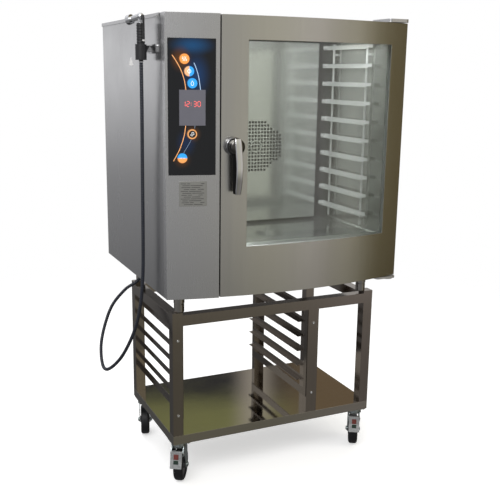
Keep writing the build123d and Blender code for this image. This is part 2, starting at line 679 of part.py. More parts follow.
def handle_boss():
    boss = rod((HANDLE_X, BOSS_FACE, HANDLE_Z), (HANDLE_X, -360, HANDLE_Z), BOSS_R)
    boss -= bow_column(BOW_R + 0.05)
    boss = fillet(boss.faces().sort_by(Axis.Y)[0].edges(), 4)
    return boss - rod((HANDLE_X, BOSS_FACE - 1, HANDLE_Z), (HANDLE_X, -350, HANDLE_Z), COLLAR_R + RUNNING)


def handle_lever():
    back = BOSS_FACE - 1
    top, low = HANDLE_Z + 27, HANDLE_Z - LEVER_DROP
    x = HANDLE_X - LEVER_W / 2
    outline = Spline((x, back - 29, top), (x, back - 45, HANDLE_Z - 60), (x, back - 35, low))
    outline += Line((x, back - 35, low), (x, back + 1, low))
    outline += Spline((x, back + 1, low), (x, back + 4, HANDLE_Z - 85), (x, back, HANDLE_Z - 38))
    outline += Polyline((x, back, HANDLE_Z - 38), (x, back, top), (x, back - 29, top))
    arm = extrude(make_face(outline), amount=LEVER_W, dir=(1, 0, 0))
    hub = rod((HANDLE_X, back, HANDLE_Z), (HANDLE_X, back - 30, HANDLE_Z), 27)
    return arm + fillet(hub.faces().sort_by(Axis.Y)[0].edges(), 4)


def latch_cam():
    spindle = rod((HANDLE_X, BOSS_FACE - 1, HANDLE_Z), (HANDLE_X, -378, HANDLE_Z), COLLAR_R)
    spindle += rod((HANDLE_X, -378, HANDLE_Z), (HANDLE_X, -284, HANDLE_Z), SPINDLE_R)
    y = (DOOR_BACK + 1.3, DOOR_BACK + 6.3)
    tongue = block((HANDLE_X - LATCH_REACH, HANDLE_X), y, (HANDLE_Z - 5, HANDLE_Z + 5))
    return spindle + tongue + rod((HANDLE_X, y[0], HANDLE_Z), (HANDLE_X, y[1], HANDLE_Z), 6)


# ================================================================ hand shower
HOSE_PATH = [
    (SHOWER_X, SHOWER_Y, CUP_Z[0] - 8),
    (-502, -178, 1400),
    (-500, -165, 1162),
    (-500, -160, 946),
    (-501, -153, 815),
    (-508, -140, 700),
    (-524, -110, 592),
    (-556, -40, 470),
    (-586, 60, 388),
    (-588, 140, 392),
    (-572, 196, 470),
    (-530, 205, 590),
    (-478, 180, 668),
    (-435, 158, 704),
    (-412, 150, 735),
    (-410, 150, 790),
]


def shower_hose():
    path = Spline(*HOSE_PATH, tangents=[(0, 0, -1), (0, 0, 1)])
    return sweep(Plane(origin=HOSE_PATH[0], z_dir=(0, 0, -1)) * Circle(HOSE_R), path=path)


def shower_holder():
    cup = rod((SHOWER_X, SHOWER_Y, CUP_Z[0]), (SHOWER_X, SHOWER_Y, CUP_Z[1]), CUP_R)
    plate = rounded(block((-476, -HALF_W), (-258, -158), (CUP_Z[1] - 30, CUP_Z[1])), Axis.X, 6)
    arm = block((SHOWER_X + 10, -474), (SHOWER_Y - 9, SHOWER_Y + 9), (CUP_Z[1] - 26, CUP_Z[1] - 4))
    holder = cup + plate + arm
    holder -= rod((SHOWER_X, SHOWER_Y, CUP_Z[0] + 8), (SHOWER_X, SHOWER_Y, CUP_Z[1] + 1), GRIP_R + 1)
    return holder - rod((SHOWER_X, SHOWER_Y, CUP_Z[0] - 1), (SHOWER_X, SHOWER_Y, CUP_Z[1]), HOSE_R + 2)


def shower_body():
    x, y = SHOWER_X, SHOWER_Y
    grip = rod((x, y, CUP_Z[0] + 10), (x, y, GRIP_TOP), GRIP_R - 1)
    for ring in range(7):
        z = CUP_Z[1] + 4 + ring * 9
        grip += fillet(rod((x, y, z), (x, y, z + 5), GRIP_R).edges().filter_by(GeomType.CIRCLE), 1)
    grip += rod((x, y, CUP_Z[0] - 6), (x, y, CUP_Z[0] + 10), HOSE_R + 1)
    grip += rod((x, y, GRIP_TOP), (x, y, 1712), 9)
    grip += Pos(x, y, 1712) * Sphere(12)
    nose = (x - 20, y + 34, 1704)
    grip += rod((x, y, 1712), nose, 10)
    face = (x - 28, y + 48, 1701)
    grip += rod(nose, face, 16)
    ears_y = (TRIGGER_PIVOT[0] - 5, SHOWER_Y)
    for side in (-1, 1):
        ear_x = (x + side * 5 - 1.5, x + side * 5 + 1.5)
        grip += block(ear_x, ears_y, grown((TRIGGER_PIVOT[1],) * 2, 5))
    pin_hole = rod((x - 9, *TRIGGER_PIVOT), (x + 9, *TRIGGER_PIVOT), 1.5 + RUNNING)
    return grip - pin_hole


def shower_lever():
    y, z = TRIGGER_PIVOT
    x = (SHOWER_X - 3, SHOWER_X + 3)
    blade = prism_x(
        grown((SHOWER_X, SHOWER_X), 3),
        [(y - 4, z - 4), (y + 3, z - 4), (y + 3, z + 4), (y - 4, z + 9), (y - 16, z + 9), (y - 20, z),
         (y - 20, z - 68), (y - 15, z - 68), (y - 15, z - 8)],
    )
    blade += rod((x[0] - 4, y, z), (x[1] + 4, y, z), 1.5)
    return blade + Pos(SHOWER_X, y - 17.5, z - 71) * Sphere(5)


# ================================================================ stand
def stand_corner(side_x, side_y):
    """X and Y spans of one post."""
    x = sorted((side_x * STAND_X, side_x * (STAND_X - TUBE)))
    y = sorted((side_y * STAND_Y, side_y * (STAND_Y - TUBE)))
    return x, y


def stand_frame():
    inside_x = (-STAND_X + TUBE, STAND_X - TUBE)
    inside_y = (-STAND_Y + TUBE, STAND_Y - TUBE)
    rail_z = (RAIL_TOP - TUBE, RAIL_TOP)
    frame = None
    bores = []
    for side_x in (-1, 1):
        x, _ = stand_corner(side_x, 1)
        bar = block(x, grown(inside_y, 1), rail_z)
        frame = bar if frame is None else frame + bar
        bores.append(block(grown(x, -WALL), inside_y, grown(rail_z, -WALL)))
        for side_y in (-1, 1):
            x, y = stand_corner(side_x, side_y)
            frame += block(x, y, (SHELF_TOP, POST_TOP))
            bores.append(block(grown(x, -WALL), grown(y, -WALL), (SHELF_TOP - 1, POST_TOP - WALL)))
    for side_y in (-1, 1):
        _, y = stand_corner(1, side_y)
        frame += block(grown(inside_x, 1), y, rail_z)
        bores.append(block(inside_x, grown(y, -WALL), grown(rail_z, -WALL)))
        deep = sorted((side_y * STAND_Y, side_y * (STAND_Y - UPRIGHT_DEPTH)))
        frame += block(DIVIDER_X, deep, (SHELF_TOP, RAIL_TOP - TUBE + 1))
        hollow = sorted((side_y * (STAND_Y - 2), side_y * (STAND_Y - UPRIGHT_DEPTH - 1)))
        bores.append(block(grown(DIVIDER_X, -2), hollow, (SHELF_TOP - 1, RAIL_TOP - TUBE)))
    for bore in bores:
        frame -= bore
    return frame


def stand_shelf():
    x, y = (-STAND_X, STAND_X), (-STAND_Y, STAND_Y)
    shelf = block(x, y, (STAND_UNDER, SHELF_TOP))
    shelf -= block(grown(x, -SHEET), grown(y, -SHEET), (STAND_UNDER - 1, SHELF_TOP - SHEET))
    for side_x in (-1, 1):
        for side_y in (-1, 1):
            x, y = (side_x * CASTER_XY[0],) * 2, (side_y * CASTER_XY[1],) * 2
            shelf += block(grown(x, PLATE_HALF), grown(y, PLATE_HALF), (STAND_UNDER, STAND_UNDER + 4))
            shelf += block(grown(x, 20), grown(y, 20), (STAND_UNDER + 4, SHELF_TOP - 1))
    return shelf


def runner_ladder(wall, inward):
    """Six ledges and a foot bar between two strips; wall is the face they hang on."""
    strip = sorted((wall, wall + 2 * inward))
    rail_under = RAIL_TOP - TUBE - 0.5
    ladder = None
    for side_y in (-1, 1):
        y = sorted((side_y * (STAND_Y - 3), side_y * (STAND_Y - UPRIGHT_DEPTH + 1)))
        bar = block(strip, y, (RUNNER_Z - 70, rail_under))
        ladder = bar if ladder is None else ladder + bar
        inner_y = sorted((side_y * (STAND_Y - TUBE - 12), side_y * (STAND_Y - TUBE - 0.5)))
        ladder += block(strip, inner_y, (rail_under - 60, rail_under + 20))
        brace_y = sorted((side_y * (STAND_Y - TUBE - 12), side_y * (STAND_Y - UPRIGHT_DEPTH)))
        ladder += block(strip, brace_y, (rail_under - 60, rail_under - 30))
    along = grown((-STAND_Y, STAND_Y), -3)
    between_rails = grown((-STAND_Y, STAND_Y), -TUBE - 0.5)
    for number in range(RUNNER_COUNT):
        z = RUNNER_Z + number * RUNNER_PITCH
        y = along if z < rail_under else between_rails
        ladder += block(strip, y, (z - RUNNER_WEB, z))
        ledge = sorted((wall, wall + RUNNER_LEDGE * inward))
        ladder += block(ledge, (RUNNER_START, y[1]), (z - RUNNER_WEB, z - RUNNER_WEB + 2))
    ladder += block(strip, along, (RUNNER_Z - 78, RUNNER_Z - 46))
    return ladder


def tray_runners():
    left = runner_ladder(-STAND_X + TUBE, 1)
    centre = runner_ladder(DIVIDER_X[0], -1)
    return group([left, centre])


def pan_head(place, out):
    """A pan-head screw's head, standing on a face and facing out."""
    tip = [p + 3 * o for p, o in zip(place, out)]
    head = rod(place, tip, 5)
    deep = [p + 1.4 * o for p, o in zip(place, out)]
    past = [p + 4 * o for p, o in zip(place, out)]
    return head - rod(deep, past, 1.8)


def screws():
    heads = []
    divider = sum(DIVIDER_X) / 2
    posts = [-STAND_X + TUBE / 2, divider]
    for z in (RUNNER_Z + 4 * RUNNER_PITCH - 14, RUNNER_Z - 62):
        for x in posts:
            heads.append(pan_head((x, -STAND_Y, z), (0, -1, 0)))
            heads.append(pan_head((x, STAND_Y, z), (0, 1, 0)))
    for z in (UNDER + 20, 1080, 1330, 1660):
        for x in (-HALF_W + 16, HALF_W - 16):
            heads.append(pan_head((x, BACK_Y, z), (0, 1, 0)))
    for x in (-300, -100, 100, 300):
        heads.append(pan_head((x, BACK_Y, 1690), (0, 1, 0)))
    for y in (-200, 80, 360):
        heads.append(pan_head((HALF_W, y, UNDER + 16), (1, 0, 0)))
    return group(heads)


# ================================================================ casters
def caster_axis(name):
    """X and Y of one caster's swivel axis."""
    side_x, side_y, _ = CASTERS[name]
    return side_x * CASTER_XY[0], side_y * CASTER_XY[1]


def at_caster(name, shape):
    """A shape drawn around the origin, turned and moved under its corner."""
    turn = CASTERS[name][2]
    return Pos(*caster_axis(name), 0) * Rot(0, 0, -turn) * shape


def caster_plates():
    plates = []
    for name in CASTERS:
        x, y = caster_axis(name)
        span_x, span_y = grown((x, x), PLATE_HALF), grown((y, y), PLATE_HALF)
        plate = rounded(block(span_x, span_y, (STAND_UNDER - 4, STAND_UNDER)), Axis.Z, 6)
        plate += rod((x, y, STAND_UNDER - 7), (x, y, STAND_UNDER - 4), 25)
        plate += rod((x, y, 151), (x, y, STAND_UNDER - 4), KING_R)
        plate += rod((x, y, 145), (x, y, 151.7), 13)
        for dx in (-27, 27):
            for dy in (-27, 27):
                plate += Pos(x + dx, y + dy, STAND_UNDER - 7) * extrude(RegularPolygon(6, 6), amount=4)
        plates.append(plate)
    return group(plates)


def fork_leg(side):
    span = sorted((side * FORK_IN, side * (FORK_IN + FORK_T)))
    outline = [
        (-24, 160), (24, 160), (36, 141), (40, 130), (40, 66), (36, 53), (26, 49), (16, 53),
        (11, 66), (2, 98), (-16, 120), (-40, 125), (-42, 142),
    ]
    return prism_x(span, outline)


def caster_fork():
    fork = rod((0, 0, 152), (0, 0, STAND_UNDER - 7.2), 29)
    half = FORK_IN + FORK_T
    fork += rod((-half - 7, TRAIL, WHEEL_R), (half + 7, TRAIL, WHEEL_R), AXLE_R)
    for side in (-1, 1):
        fork += fork_leg(side)
        fork += rod((side * half, TRAIL, WHEEL_R), (side * (half + 5), TRAIL, WHEEL_R), 9)
    fork -= rod((0, 0, 140), (0, 0, STAND_UNDER), KING_R + RUNNING)
    return fork - rod((-40, *PEDAL_PIN), (40, *PEDAL_PIN), PEDAL_PIN_R + RUNNING)


def caster_wheel():
    half = WHEEL_W / 2
    wheel = rod((-half, TRAIL, WHEEL_R), (half, TRAIL, WHEEL_R), WHEEL_R)
    wheel = fillet(wheel.edges().filter_by(GeomType.CIRCLE), 10)
    for side in (-1, 1):
        face = side * half
        dish = rod((face - side * 5, TRAIL, WHEEL_R), (face + side, TRAIL, WHEEL_R), 45)
        dish -= rod((face - side * 6, TRAIL, WHEEL_R), (face + side, TRAIL, WHEEL_R), 16)
        wheel -= dish
        wheel += rod((face, TRAIL, WHEEL_R), (face + side * 2.4, TRAIL, WHEEL_R), 14)
    return wheel - rod((-40, TRAIL, WHEEL_R), (40, TRAIL, WHEEL_R), AXLE_R + RUNNING)


def brake_pedal():
    """Foot plate in front of the wheel, hung from a pin through the fork, with its brake pad."""
    half = PEDAL_W / 2
    plate = [
        (-44, 148), (-48, 146), (-54, 118), (-61, 96), (-64, 87), (-67, 88), (-64, 98), (-57, 119),
        (-51, 149), (-44, 151),
    ]
    pedal = prism_x((-half, half), plate)
    ear = [(-50, 143), (-34, 143), (-27, 138), (-27, 131), (-33, 127), (-54, 122)]
    web = [(-55, 116), (-34, 112), (-27, 110), (-31, 98), (-36, 99), (-60, 104)]
    for side in (-1, 1):
        pedal += prism_x(sorted((side * 17.4, side * 20.6)), ear)
    pedal += prism_x((-11, 11), web)
    return pedal + rod((-half - 4, *PEDAL_PIN), (half + 4, *PEDAL_PIN), PEDAL_PIN_R)


# ================================================================ nodes
NODES = {
    "top_panel": top_panel,
    "left_side_panel": left_side_panel,
    "right_side_panel": right_side_panel,
    "rear_panel": rear_panel,
    "base_pan": base_pan,
    "control_fascia": control_fascia,
    "label_plate": label_plate,
    "hinge_brackets": hinge_brackets,
    "latch_keeper": latch_keeper,
    "oven_feet": oven_feet,
    "cavity_liner": cavity_liner,
    "insulation_jacket": insulation_jacket,
    "fan_baffle": fan_baffle,
    "drain_strainer": drain_strainer,
    "right_rack": tray_rack,
    "left_rack": left_rack,
    "cavity_lamp": cavity_lamp,
    "door_gasket": door_gasket,
    "fan_wheel": fan_wheel,
    "fan_motor": fan_motor,
    "heating_element": heating_element,
    "steam_generator": steam_generator,
    "drain_pipe": drain_pipe,
    "vent_pipe": vent_pipe,
    "vent_damper": vent_damper,
    "water_valves": water_valves,
    "control_board": control_board,
    "control_glass": control_glass,
    "display_screen": display_screen,
    "door_skin": door_skin,
    "door_inner_pan": door_inner_pan,
    "door_outer_glass": door_outer_glass,
    "door_inner_glass": door_inner_glass,
    "handle_boss": handle_boss,
    "handle_lever": handle_lever,
    "latch_cam": latch_cam,
    "shower_hose": shower_hose,
    "shower_holder": shower_holder,
    "shower_body": shower_body,
    "shower_lever": shower_lever,
    "stand_frame": stand_frame,
    "stand_shelf": stand_shelf,
    "tray_runners": tray_runners,
    "screws": screws,
    "caster_plates": caster_plates,
}


def build_all():
    """Every node's name and shape."""
    shapes = {name: make() for name, make in NODES.items()}
    for name in KEYS:
        shapes[name] = key_cap(name)
    for name in CASTERS:
        shapes[f"caster_fork_{name}"] = at_caster(name, caster_fork())
        shapes[f"caster_wheel_{name}"] = at_caster(name, caster_wheel())
    for name in BRAKED:
        shapes[f"brake_pedal_{name}"] = at_caster(name, brake_pedal())
    return shapes


if __name__ == "__main__":
    os.makedirs("parts", exist_ok=True)
    for node, shape in build_all().items():
        export_step(shape, f"parts/{node}.step")
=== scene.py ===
import json
import math

import bpy
from mathutils import Matrix, Vector

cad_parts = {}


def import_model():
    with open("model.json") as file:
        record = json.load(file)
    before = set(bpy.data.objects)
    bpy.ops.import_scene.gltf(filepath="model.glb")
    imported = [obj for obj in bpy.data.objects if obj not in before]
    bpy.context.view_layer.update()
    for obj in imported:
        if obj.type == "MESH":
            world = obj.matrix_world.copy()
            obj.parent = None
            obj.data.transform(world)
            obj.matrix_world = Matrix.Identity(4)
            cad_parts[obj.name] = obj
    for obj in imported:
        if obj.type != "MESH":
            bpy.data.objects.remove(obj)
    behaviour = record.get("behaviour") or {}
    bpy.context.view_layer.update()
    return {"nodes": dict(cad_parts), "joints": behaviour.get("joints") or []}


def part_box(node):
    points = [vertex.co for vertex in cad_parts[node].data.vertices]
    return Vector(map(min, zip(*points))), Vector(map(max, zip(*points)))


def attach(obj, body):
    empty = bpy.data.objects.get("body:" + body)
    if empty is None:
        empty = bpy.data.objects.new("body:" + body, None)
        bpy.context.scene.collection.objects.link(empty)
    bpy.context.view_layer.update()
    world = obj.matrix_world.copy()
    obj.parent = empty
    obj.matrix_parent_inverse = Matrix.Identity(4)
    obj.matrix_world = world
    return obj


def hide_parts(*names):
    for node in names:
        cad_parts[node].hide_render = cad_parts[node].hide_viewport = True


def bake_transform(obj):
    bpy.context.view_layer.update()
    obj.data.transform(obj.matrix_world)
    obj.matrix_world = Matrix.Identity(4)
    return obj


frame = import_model()


# ---------------------------------------------------------------- node helpers
def add(tree, kind, values=None, **settings):
    """One shader node, its settings, and its inputs as numbers or as links."""
    node = tree.nodes.new(kind)
    for key, value in settings.items():
        setattr(node, key, value)
    for key, value in (values or {}).items():
        if isinstance(value, bpy.types.NodeSocket):
            tree.links.new(value, node.inputs[key])
        else:
            node.inputs[key].default_value = value
    return node


def maths(tree, operation, a, b=0.0, clamp=False):
    return add(tree, "ShaderNodeMath", {0: a, 1: b}, operation=operation, use_clamp=clamp).outputs[0]


def remap(tree, value, low, high, to_low=0.0, to_high=1.0):
    node = add(tree, "ShaderNodeMapRange", {"Value": value, "From Min": low, "From Max": high,
                                            "To Min": to_low, "To Max": to_high})
    node.interpolation_type = "SMOOTHSTEP"
    return node.outputs[0]


def mix(tree, factor, a, b):
    node = add(tree, "ShaderNodeMix", data_type="RGBA")
    for index, value in ((0, factor), (6, a), (7, b)):
        if isinstance(value, bpy.types.NodeSocket):
            tree.links.new(value, node.inputs[index])
        else:
            node.inputs[index].default_value = value
    return node.outputs[2]


def place(tree):
    """Where a point is in the shared frame, in metres."""
    return add(tree, "ShaderNodeTexCoord").outputs["Object"]


def noise(tree, scale, detail=3.0, rough=0.5):
    """Noise stretched by a scale for each axis, from 0 to 1."""
    spot = add(tree, "ShaderNodeMapping", {"Vector": place(tree), "Scale": scale})
    return add(tree, "ShaderNodeTexNoise", {"Vector": spot.outputs[0], "Scale": 1.0, "Detail": detail,
                                            "Roughness": rough}).outputs["Fac"]


def rgba(colour, gain=1.0):
    return (colour[0] * gain, colour[1] * gain, colour[2] * gain, 1.0)


def start(name):
    material = bpy.data.materials.new(name)
    material.use_nodes = True
    material.node_tree.nodes.clear()
    return material, material.node_tree


def end(tree, shader):
    add(tree, "ShaderNodeOutputMaterial", {"Surface": shader})


def soft_edges(tree, radius):
    return add(tree, "ShaderNodeBevel", {"Radius": radius}, samples=4).outputs[0]


GRAIN = {"x": (9, 900, 900), "y": (900, 9, 900), "z": (900, 900, 9)}


def metal(name, colour, rough, grain="z", depth=0.12, stain=0.12, edge=0.0012, streaks=0.05, pure=1.0):
    """Brushed sheet: fine grain along one axis, faint wide streaks, and hand marks in the gloss."""
    material, tree = start(name)
    fine = noise(tree, GRAIN[grain], 4.0, 0.6)
    wide = noise(tree, tuple(s / 12 if s > 99 else s / 6 for s in GRAIN[grain]), 2.0)
    cloud = noise(tree, (5, 5, 5), 4.0, 0.6)
    tone = maths(tree, "ADD", maths(tree, "MULTIPLY", maths(tree, "SUBTRACT", wide, 0.5), streaks * 2), 1.0)
    tone = maths(tree, "ADD", tone, maths(tree, "MULTIPLY", maths(tree, "SUBTRACT", fine, 0.5), streaks * 2))
    tone = maths(tree, "SUBTRACT", tone, maths(tree, "MULTIPLY", cloud, stain * 0.3))
    shade = mix(tree, tone, rgba(colour, 0.0), rgba(colour))
    gloss = maths(tree, "ADD", maths(tree, "MULTIPLY", maths(tree, "SUBTRACT", cloud, 0.5), stain), rough)
    gloss = maths(tree, "ADD", gloss, maths(tree, "MULTIPLY", maths(tree, "SUBTRACT", fine, 0.5), 0.08), True)
    bump = add(tree, "ShaderNodeBump", {"Strength": depth, "Distance": 0.0004, "Height": fine,
                                        "Normal": soft_edges(tree, edge)})
    shader = add(tree, "ShaderNodeBsdfPrincipled", {"Base Color": shade, "Metallic": pure, "Roughness": gloss,
                                                    "Normal": bump.outputs[0]})
    end(tree, shader.outputs[0])
    return material


def dull(name, colour, rough, grit=250.0, depth=0.15, metallic=0.0, shine=0.5, vary=0.25):
    """Moulded plastic, rubber or paint: fine grit, uneven gloss and slightly uneven colour."""
    material, tree = start(name)
    grain = noise(tree, (grit, grit, grit), 3.0)
    cloud = noise(tree, (18, 18, 18), 4.0, 0.6)
    shade = mix(tree, cloud, rgba(colour, 1 - vary), rgba(colour, 1 + vary))
    gloss = maths(tree, "ADD", maths(tree, "MULTIPLY", maths(tree, "SUBTRACT", cloud, 0.5), 0.2), rough, True)
    bump = add(tree, "ShaderNodeBump", {"Strength": depth, "Distance": 0.0005, "Height": grain,
                                        "Normal": soft_edges(tree, 0.001)})
    shader = add(tree, "ShaderNodeBsdfPrincipled", {"Base Color": shade, "Metallic": metallic,
                                                    "Roughness": gloss, "Specular IOR Level": shine,
                                                    "Normal": bump.outputs[0]})
    end(tree, shader.outputs[0])
    return material


def zinc(name, colour, rough):
    """Zinc plate: soft crystal patches, worn duller in places."""
    material, tree = start(name)
    spot = add(tree, "ShaderNodeMapping", {"Vector": place(tree), "Scale": (160, 160, 160)})
    flake = add(tree, "ShaderNodeTexVoronoi", {"Vector": spot.outputs[0], "Scale": 1.0}).outputs["Color"]
    flake = add(tree, "ShaderNodeSeparateColor", {0: flake}).outputs[0]
    cloud = noise(tree, (30, 30, 30), 5.0, 0.65)
    shade = mix(tree, flake, rgba(colour, 0.82), rgba(colour, 1.08))
    shade = mix(tree, remap(tree, cloud, 0.55, 0.8, 0.0, 0.5), shade, rgba((0.25, 0.22, 0.19)))
    gloss = remap(tree, cloud, 0.3, 0.8, rough - 0.08, rough + 0.2)
    shader = add(tree, "ShaderNodeBsdfPrincipled", {"Base Color": shade, "Metallic": 1.0, "Roughness": gloss,
                                                    "Normal": soft_edges(tree, 0.0012)})
    end(tree, shader.outputs[0])
    return material


def pane(name, tint, smear):
    """Thin glass: clear, with a mirror share that grows at a slant, and faint wiping marks."""
    material, tree = start(name)
    wipe = noise(tree, (6, 6, 2.2), 5.0, 0.7)
    clear = add(tree, "ShaderNodeBsdfTransparent", {"Color": rgba(tint)})
    mirror = add(tree, "ShaderNodeBsdfGlossy", {"Color": rgba((1, 1, 1)),
                                                "Roughness": remap(tree, wipe, 0.35, 0.7, 0.02, 0.12)})
    behind = add(tree, "ShaderNodeNewGeometry").outputs["Backfacing"]
    bend = maths(tree, "SUBTRACT", 1.5, maths(tree, "MULTIPLY", behind, 1.5 - 1 / 1.5))
    share = add(tree, "ShaderNodeFresnel", {"IOR": bend}).outputs[0]
    share = maths(tree, "ADD", share, remap(tree, wipe, 0.45, 0.75, 0.0, smear))
    both = add(tree, "ShaderNodeMixShader", {0: share, 1: clear.outputs[0], 2: mirror.outputs[0]})
    end(tree, both.outputs[0])
    return material


def glow(name, colour, strength, rough=0.3):
    """A lit print: its colour shines, with slightly uneven brightness."""
    material, tree = start(name)
    cloud = noise(tree, (120, 120, 120), 2.0)
    shade = mix(tree, cloud, rgba(colour, 0.85), rgba(colour, 1.1))
    shader = add(tree, "ShaderNodeBsdfPrincipled", {"Base Color": shade, "Roughness": rough,
                                                    "Emission Color": shade, "Emission Strength": strength})
    end(tree, shader.outputs[0])
    return material


# ---------------------------------------------------------------- the bowed front
def joint(name):
    return next(j for j in frame["joints"] if j["name"] == name)


def middle(node):
    low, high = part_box(node)
    return (low + high) / 2


KEY = middle("key_convection")
BOW_R = abs(KEY.x / joint("press_key_convection")["axis"][0])
BOW_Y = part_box("door_skin")[0].y + BOW_R


def on_bow(x, z, out):
    """A point standing out from the bowed front by a distance."""
    angle = math.asin(x / BOW_R)
    reach = BOW_R + out
    return Vector((reach * math.sin(angle), BOW_Y - reach * math.cos(angle), z))


# ---------------------------------------------------------------- mesh helpers
def piece(name, vertices, faces, material, body, slot, smooth=True):
    mesh = bpy.data.meshes.new(name)
    mesh.from_pydata([tuple(v) for v in vertices], [], faces)
    mesh.validate()
    mesh.update()
    obj = bpy.data.objects.new(name, mesh)
    bpy.context.scene.collection.objects.link(obj)
    mesh.materials.append(material)
    if smooth:
        mesh.shade_smooth()
        mesh.set_sharp_from_angle(angle=math.radians(38))
    if body:
        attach(obj, body)
    return obj


def loft(rings, closed=False):
    """Faces joining equal rings of points into a tube, capped unless it closes on itself."""
    count = len(rings[0])
    vertices = [p for ring in rings for p in ring]
    faces = []
    last = len(rings) if closed else len(rings) - 1
    for r in range(last):
        a, b = r * count, ((r + 1) % len(rings)) * count
        for i in range(count):
            j = (i + 1) % count
            faces.append((a + i, a + j, b + j, b + i))
    if not closed:
        faces.append(tuple(reversed(range(count))))
        faces.append(tuple(range((len(rings) - 1) * count, len(rings) * count)))
    return vertices, faces


def joined(parts):
    """Several (vertices, faces) solids as one."""
    vertices, faces = [], []
    for more, their in parts:
        base = len(vertices)
        vertices += more
        faces += [tuple(i + base for i in face) for face in their]
    return vertices, faces


def outward(vertices, faces):
    """The same solid with its faces turned outwards, judged by its signed volume."""
    total = 0.0
    for face in faces:
        a = vertices[face[0]]
        for i in range(1, len(face) - 1):
            total += a.dot(vertices[face[i]].cross(vertices[face[i + 1]]))
    if total < 0:
        faces = [tuple(reversed(face)) for face in faces]
    return vertices, faces


def ribbon(points, width, out, thick=0.0004, closed=False):
    """A thin printed line that follows the bow, through (x, z) points."""
    rings = []
    count = len(points)
    for i, (x, z) in enumerate(points):
        before = points[i - 1] if i or closed else points[i]
        after = points[(i + 1) % count] if i < count - 1 or closed else points[i]
        along = Vector((after[0] - before[0], after[1] - before[1]))
        along.normalize()
        side = Vector((-along.y, along.x)) * width / 2
        rings.append([
            on_bow(x + side.x, z + side.y, out + thick),
            on_bow(x - side.x, z - side.y, out + thick),
            on_bow(x - side.x, z - side.y, out),
            on_bow(x + side.x, z + side.y, out),
        ])
    return outward(*loft(rings, closed))


def curve_through(points, steps=12):
    """Points along a smooth line through the given ones."""
    ends = [2 * points[0] - points[1]] + list(points) + [2 * points[-1] - points[-2]]
    line = []
    for i in range(1, len(ends) - 2):
        p0, p1, p2, p3 = ends[i - 1:i + 3]
        for step in range(steps):
            t = step / steps
            line.append(0.5 * ((2 * p1) + (p2 - p0) * t + (2 * p0 - 5 * p1 + 4 * p2 - p3) * t * t
                               + (3 * p1 - p0 - 3 * p2 + p3) * t ** 3))
    line.append(points[-1].copy())
    return line


def flat_curve(points, steps=10):
    """A smooth (x, z) line."""
    return [(p.x, p.y) for p in curve_through([Vector(p) for p in points], steps)]


def ring_points(radius, count):
    """Points round a circle about the middle of a key."""
    return [(radius * math.cos(2 * math.pi * i / count), radius * math.sin(2 * math.pi * i / count))
            for i in range(count)]


def tube(line, radii, sides):
    """A round tube along a line, with its own radius at each point."""
    rings = []
    side = Vector((1, 0, 0))
    for i, point in enumerate(line):
        ahead = line[min(i + 1, len(line) - 1)] - line[max(i - 1, 0)]
        ahead.normalize()
        side = (side - ahead * side.dot(ahead)).normalized()
        other = ahead.cross(side)
        rings.append([point + (side * math.cos(a) + other * math.sin(a)) * radii[i]
                      for a in (2 * math.pi * k / sides for k in range(sides))])
    return outward(*loft(rings))


def slab(corners, normal, thick):
    """A thin plate from a loop of points, standing out along a direction."""
    lift = Vector(normal).normalized() * thick
    return outward(*loft([[Vector(c) for c in corners], [Vector(c) + lift for c in corners]]))


# ---------------------------------------------------------------- finishes
CASING = metal("casing_steel", (0.60, 0.60, 0.605), 0.25, "z", depth=0.015, streaks=0.006)
FASCIA = metal("fascia_steel", (0.73, 0.73, 0.735), 0.27, "z", depth=0.015, streaks=0.006)
DOOR = metal("door_steel", (0.67, 0.66, 0.63), 0.24, "z", depth=0.06, streaks=0.03)
CAVITY = metal("cavity_steel", (0.60, 0.61, 0.59), 0.16, "z", depth=0.04, streaks=0.14, pure=0.80)
BAFFLE = metal("baffle_steel", (0.68, 0.70, 0.68), 0.13, "x", depth=0.03, streaks=0.05, pure=0.82)
RACK = metal("rack_steel", (0.86, 0.87, 0.87), 0.18, "y", depth=0.04, streaks=0.01, edge=0.0008, pure=0.65)
PAN = metal("door_pan_steel", (0.48, 0.49, 0.48), 0.35, "z", depth=0.04, streaks=0.03, pure=0.35)
# painted shade: near-black steel for the fan wheel and the fan chamber's walls, standing in for the shade
# behind the baffle
FAN_CHAMBER_SHADE = metal("fan_chamber_painted_shade", (0.10, 0.10, 0.10), 0.35, "z", depth=0.04, streaks=0.03)
HUB_STEEL = metal("hub_steel", (0.13, 0.125, 0.115), 0.24, "x", depth=0.03, streaks=0.02)
STAND = metal("stand_steel", (0.35, 0.31, 0.275), 0.10, "z", depth=0.05, stain=0.35, streaks=0.05)
SHELF = metal("shelf_steel", (0.52, 0.49, 0.43), 0.07, "x", depth=0.04, stain=0.12, streaks=0.04)
RUNNER = metal("runner_steel", (0.27, 0.24, 0.21), 0.16, "y", depth=0.05, stain=0.2, streaks=0.06)
FOOT = metal("foot_chrome", (0.42, 0.40, 0.37), 0.12, "z", depth=0.03, stain=0.1, streaks=0.02)
DARK_STEEL = metal("element_steel", (0.22, 0.19, 0.18), 0.45, "y", stain=0.2)
LABEL = metal("label_silver", (0.52, 0.52, 0.50), 0.42, "x", streaks=0.02)
HANDLE_SILVER = metal("handle_silver", (0.80, 0.80, 0.81), 0.14, "z", depth=0.06, streaks=0.03, edge=0.002)
BRASS = metal("brass_fittings", (0.72, 0.52, 0.24), 0.35, "y", stain=0.25)
BOSS = metal("boss_steel", (0.30, 0.30, 0.31), 0.16, "x", depth=0.02, streaks=0.01)
CHROME = metal("chrome", (0.85, 0.86, 0.88), 0.10, "z", depth=0.02, streaks=0.01)
ZINC = zinc("zinc", (0.56, 0.62, 0.62), 0.30)
PEDAL_ZINC = zinc("pedal_zinc", (0.52, 0.53, 0.53), 0.48)
HANDLE_BLACK = dull("handle_black", (0.004, 0.004, 0.004), 0.60, shine=0.06)
GRIP_BLACK = dull("grip_black", (0.02, 0.02, 0.022), 0.42)
HOSE = dull("hose_black", (0.018, 0.021, 0.032), 0.35, grit=900, depth=0.4)
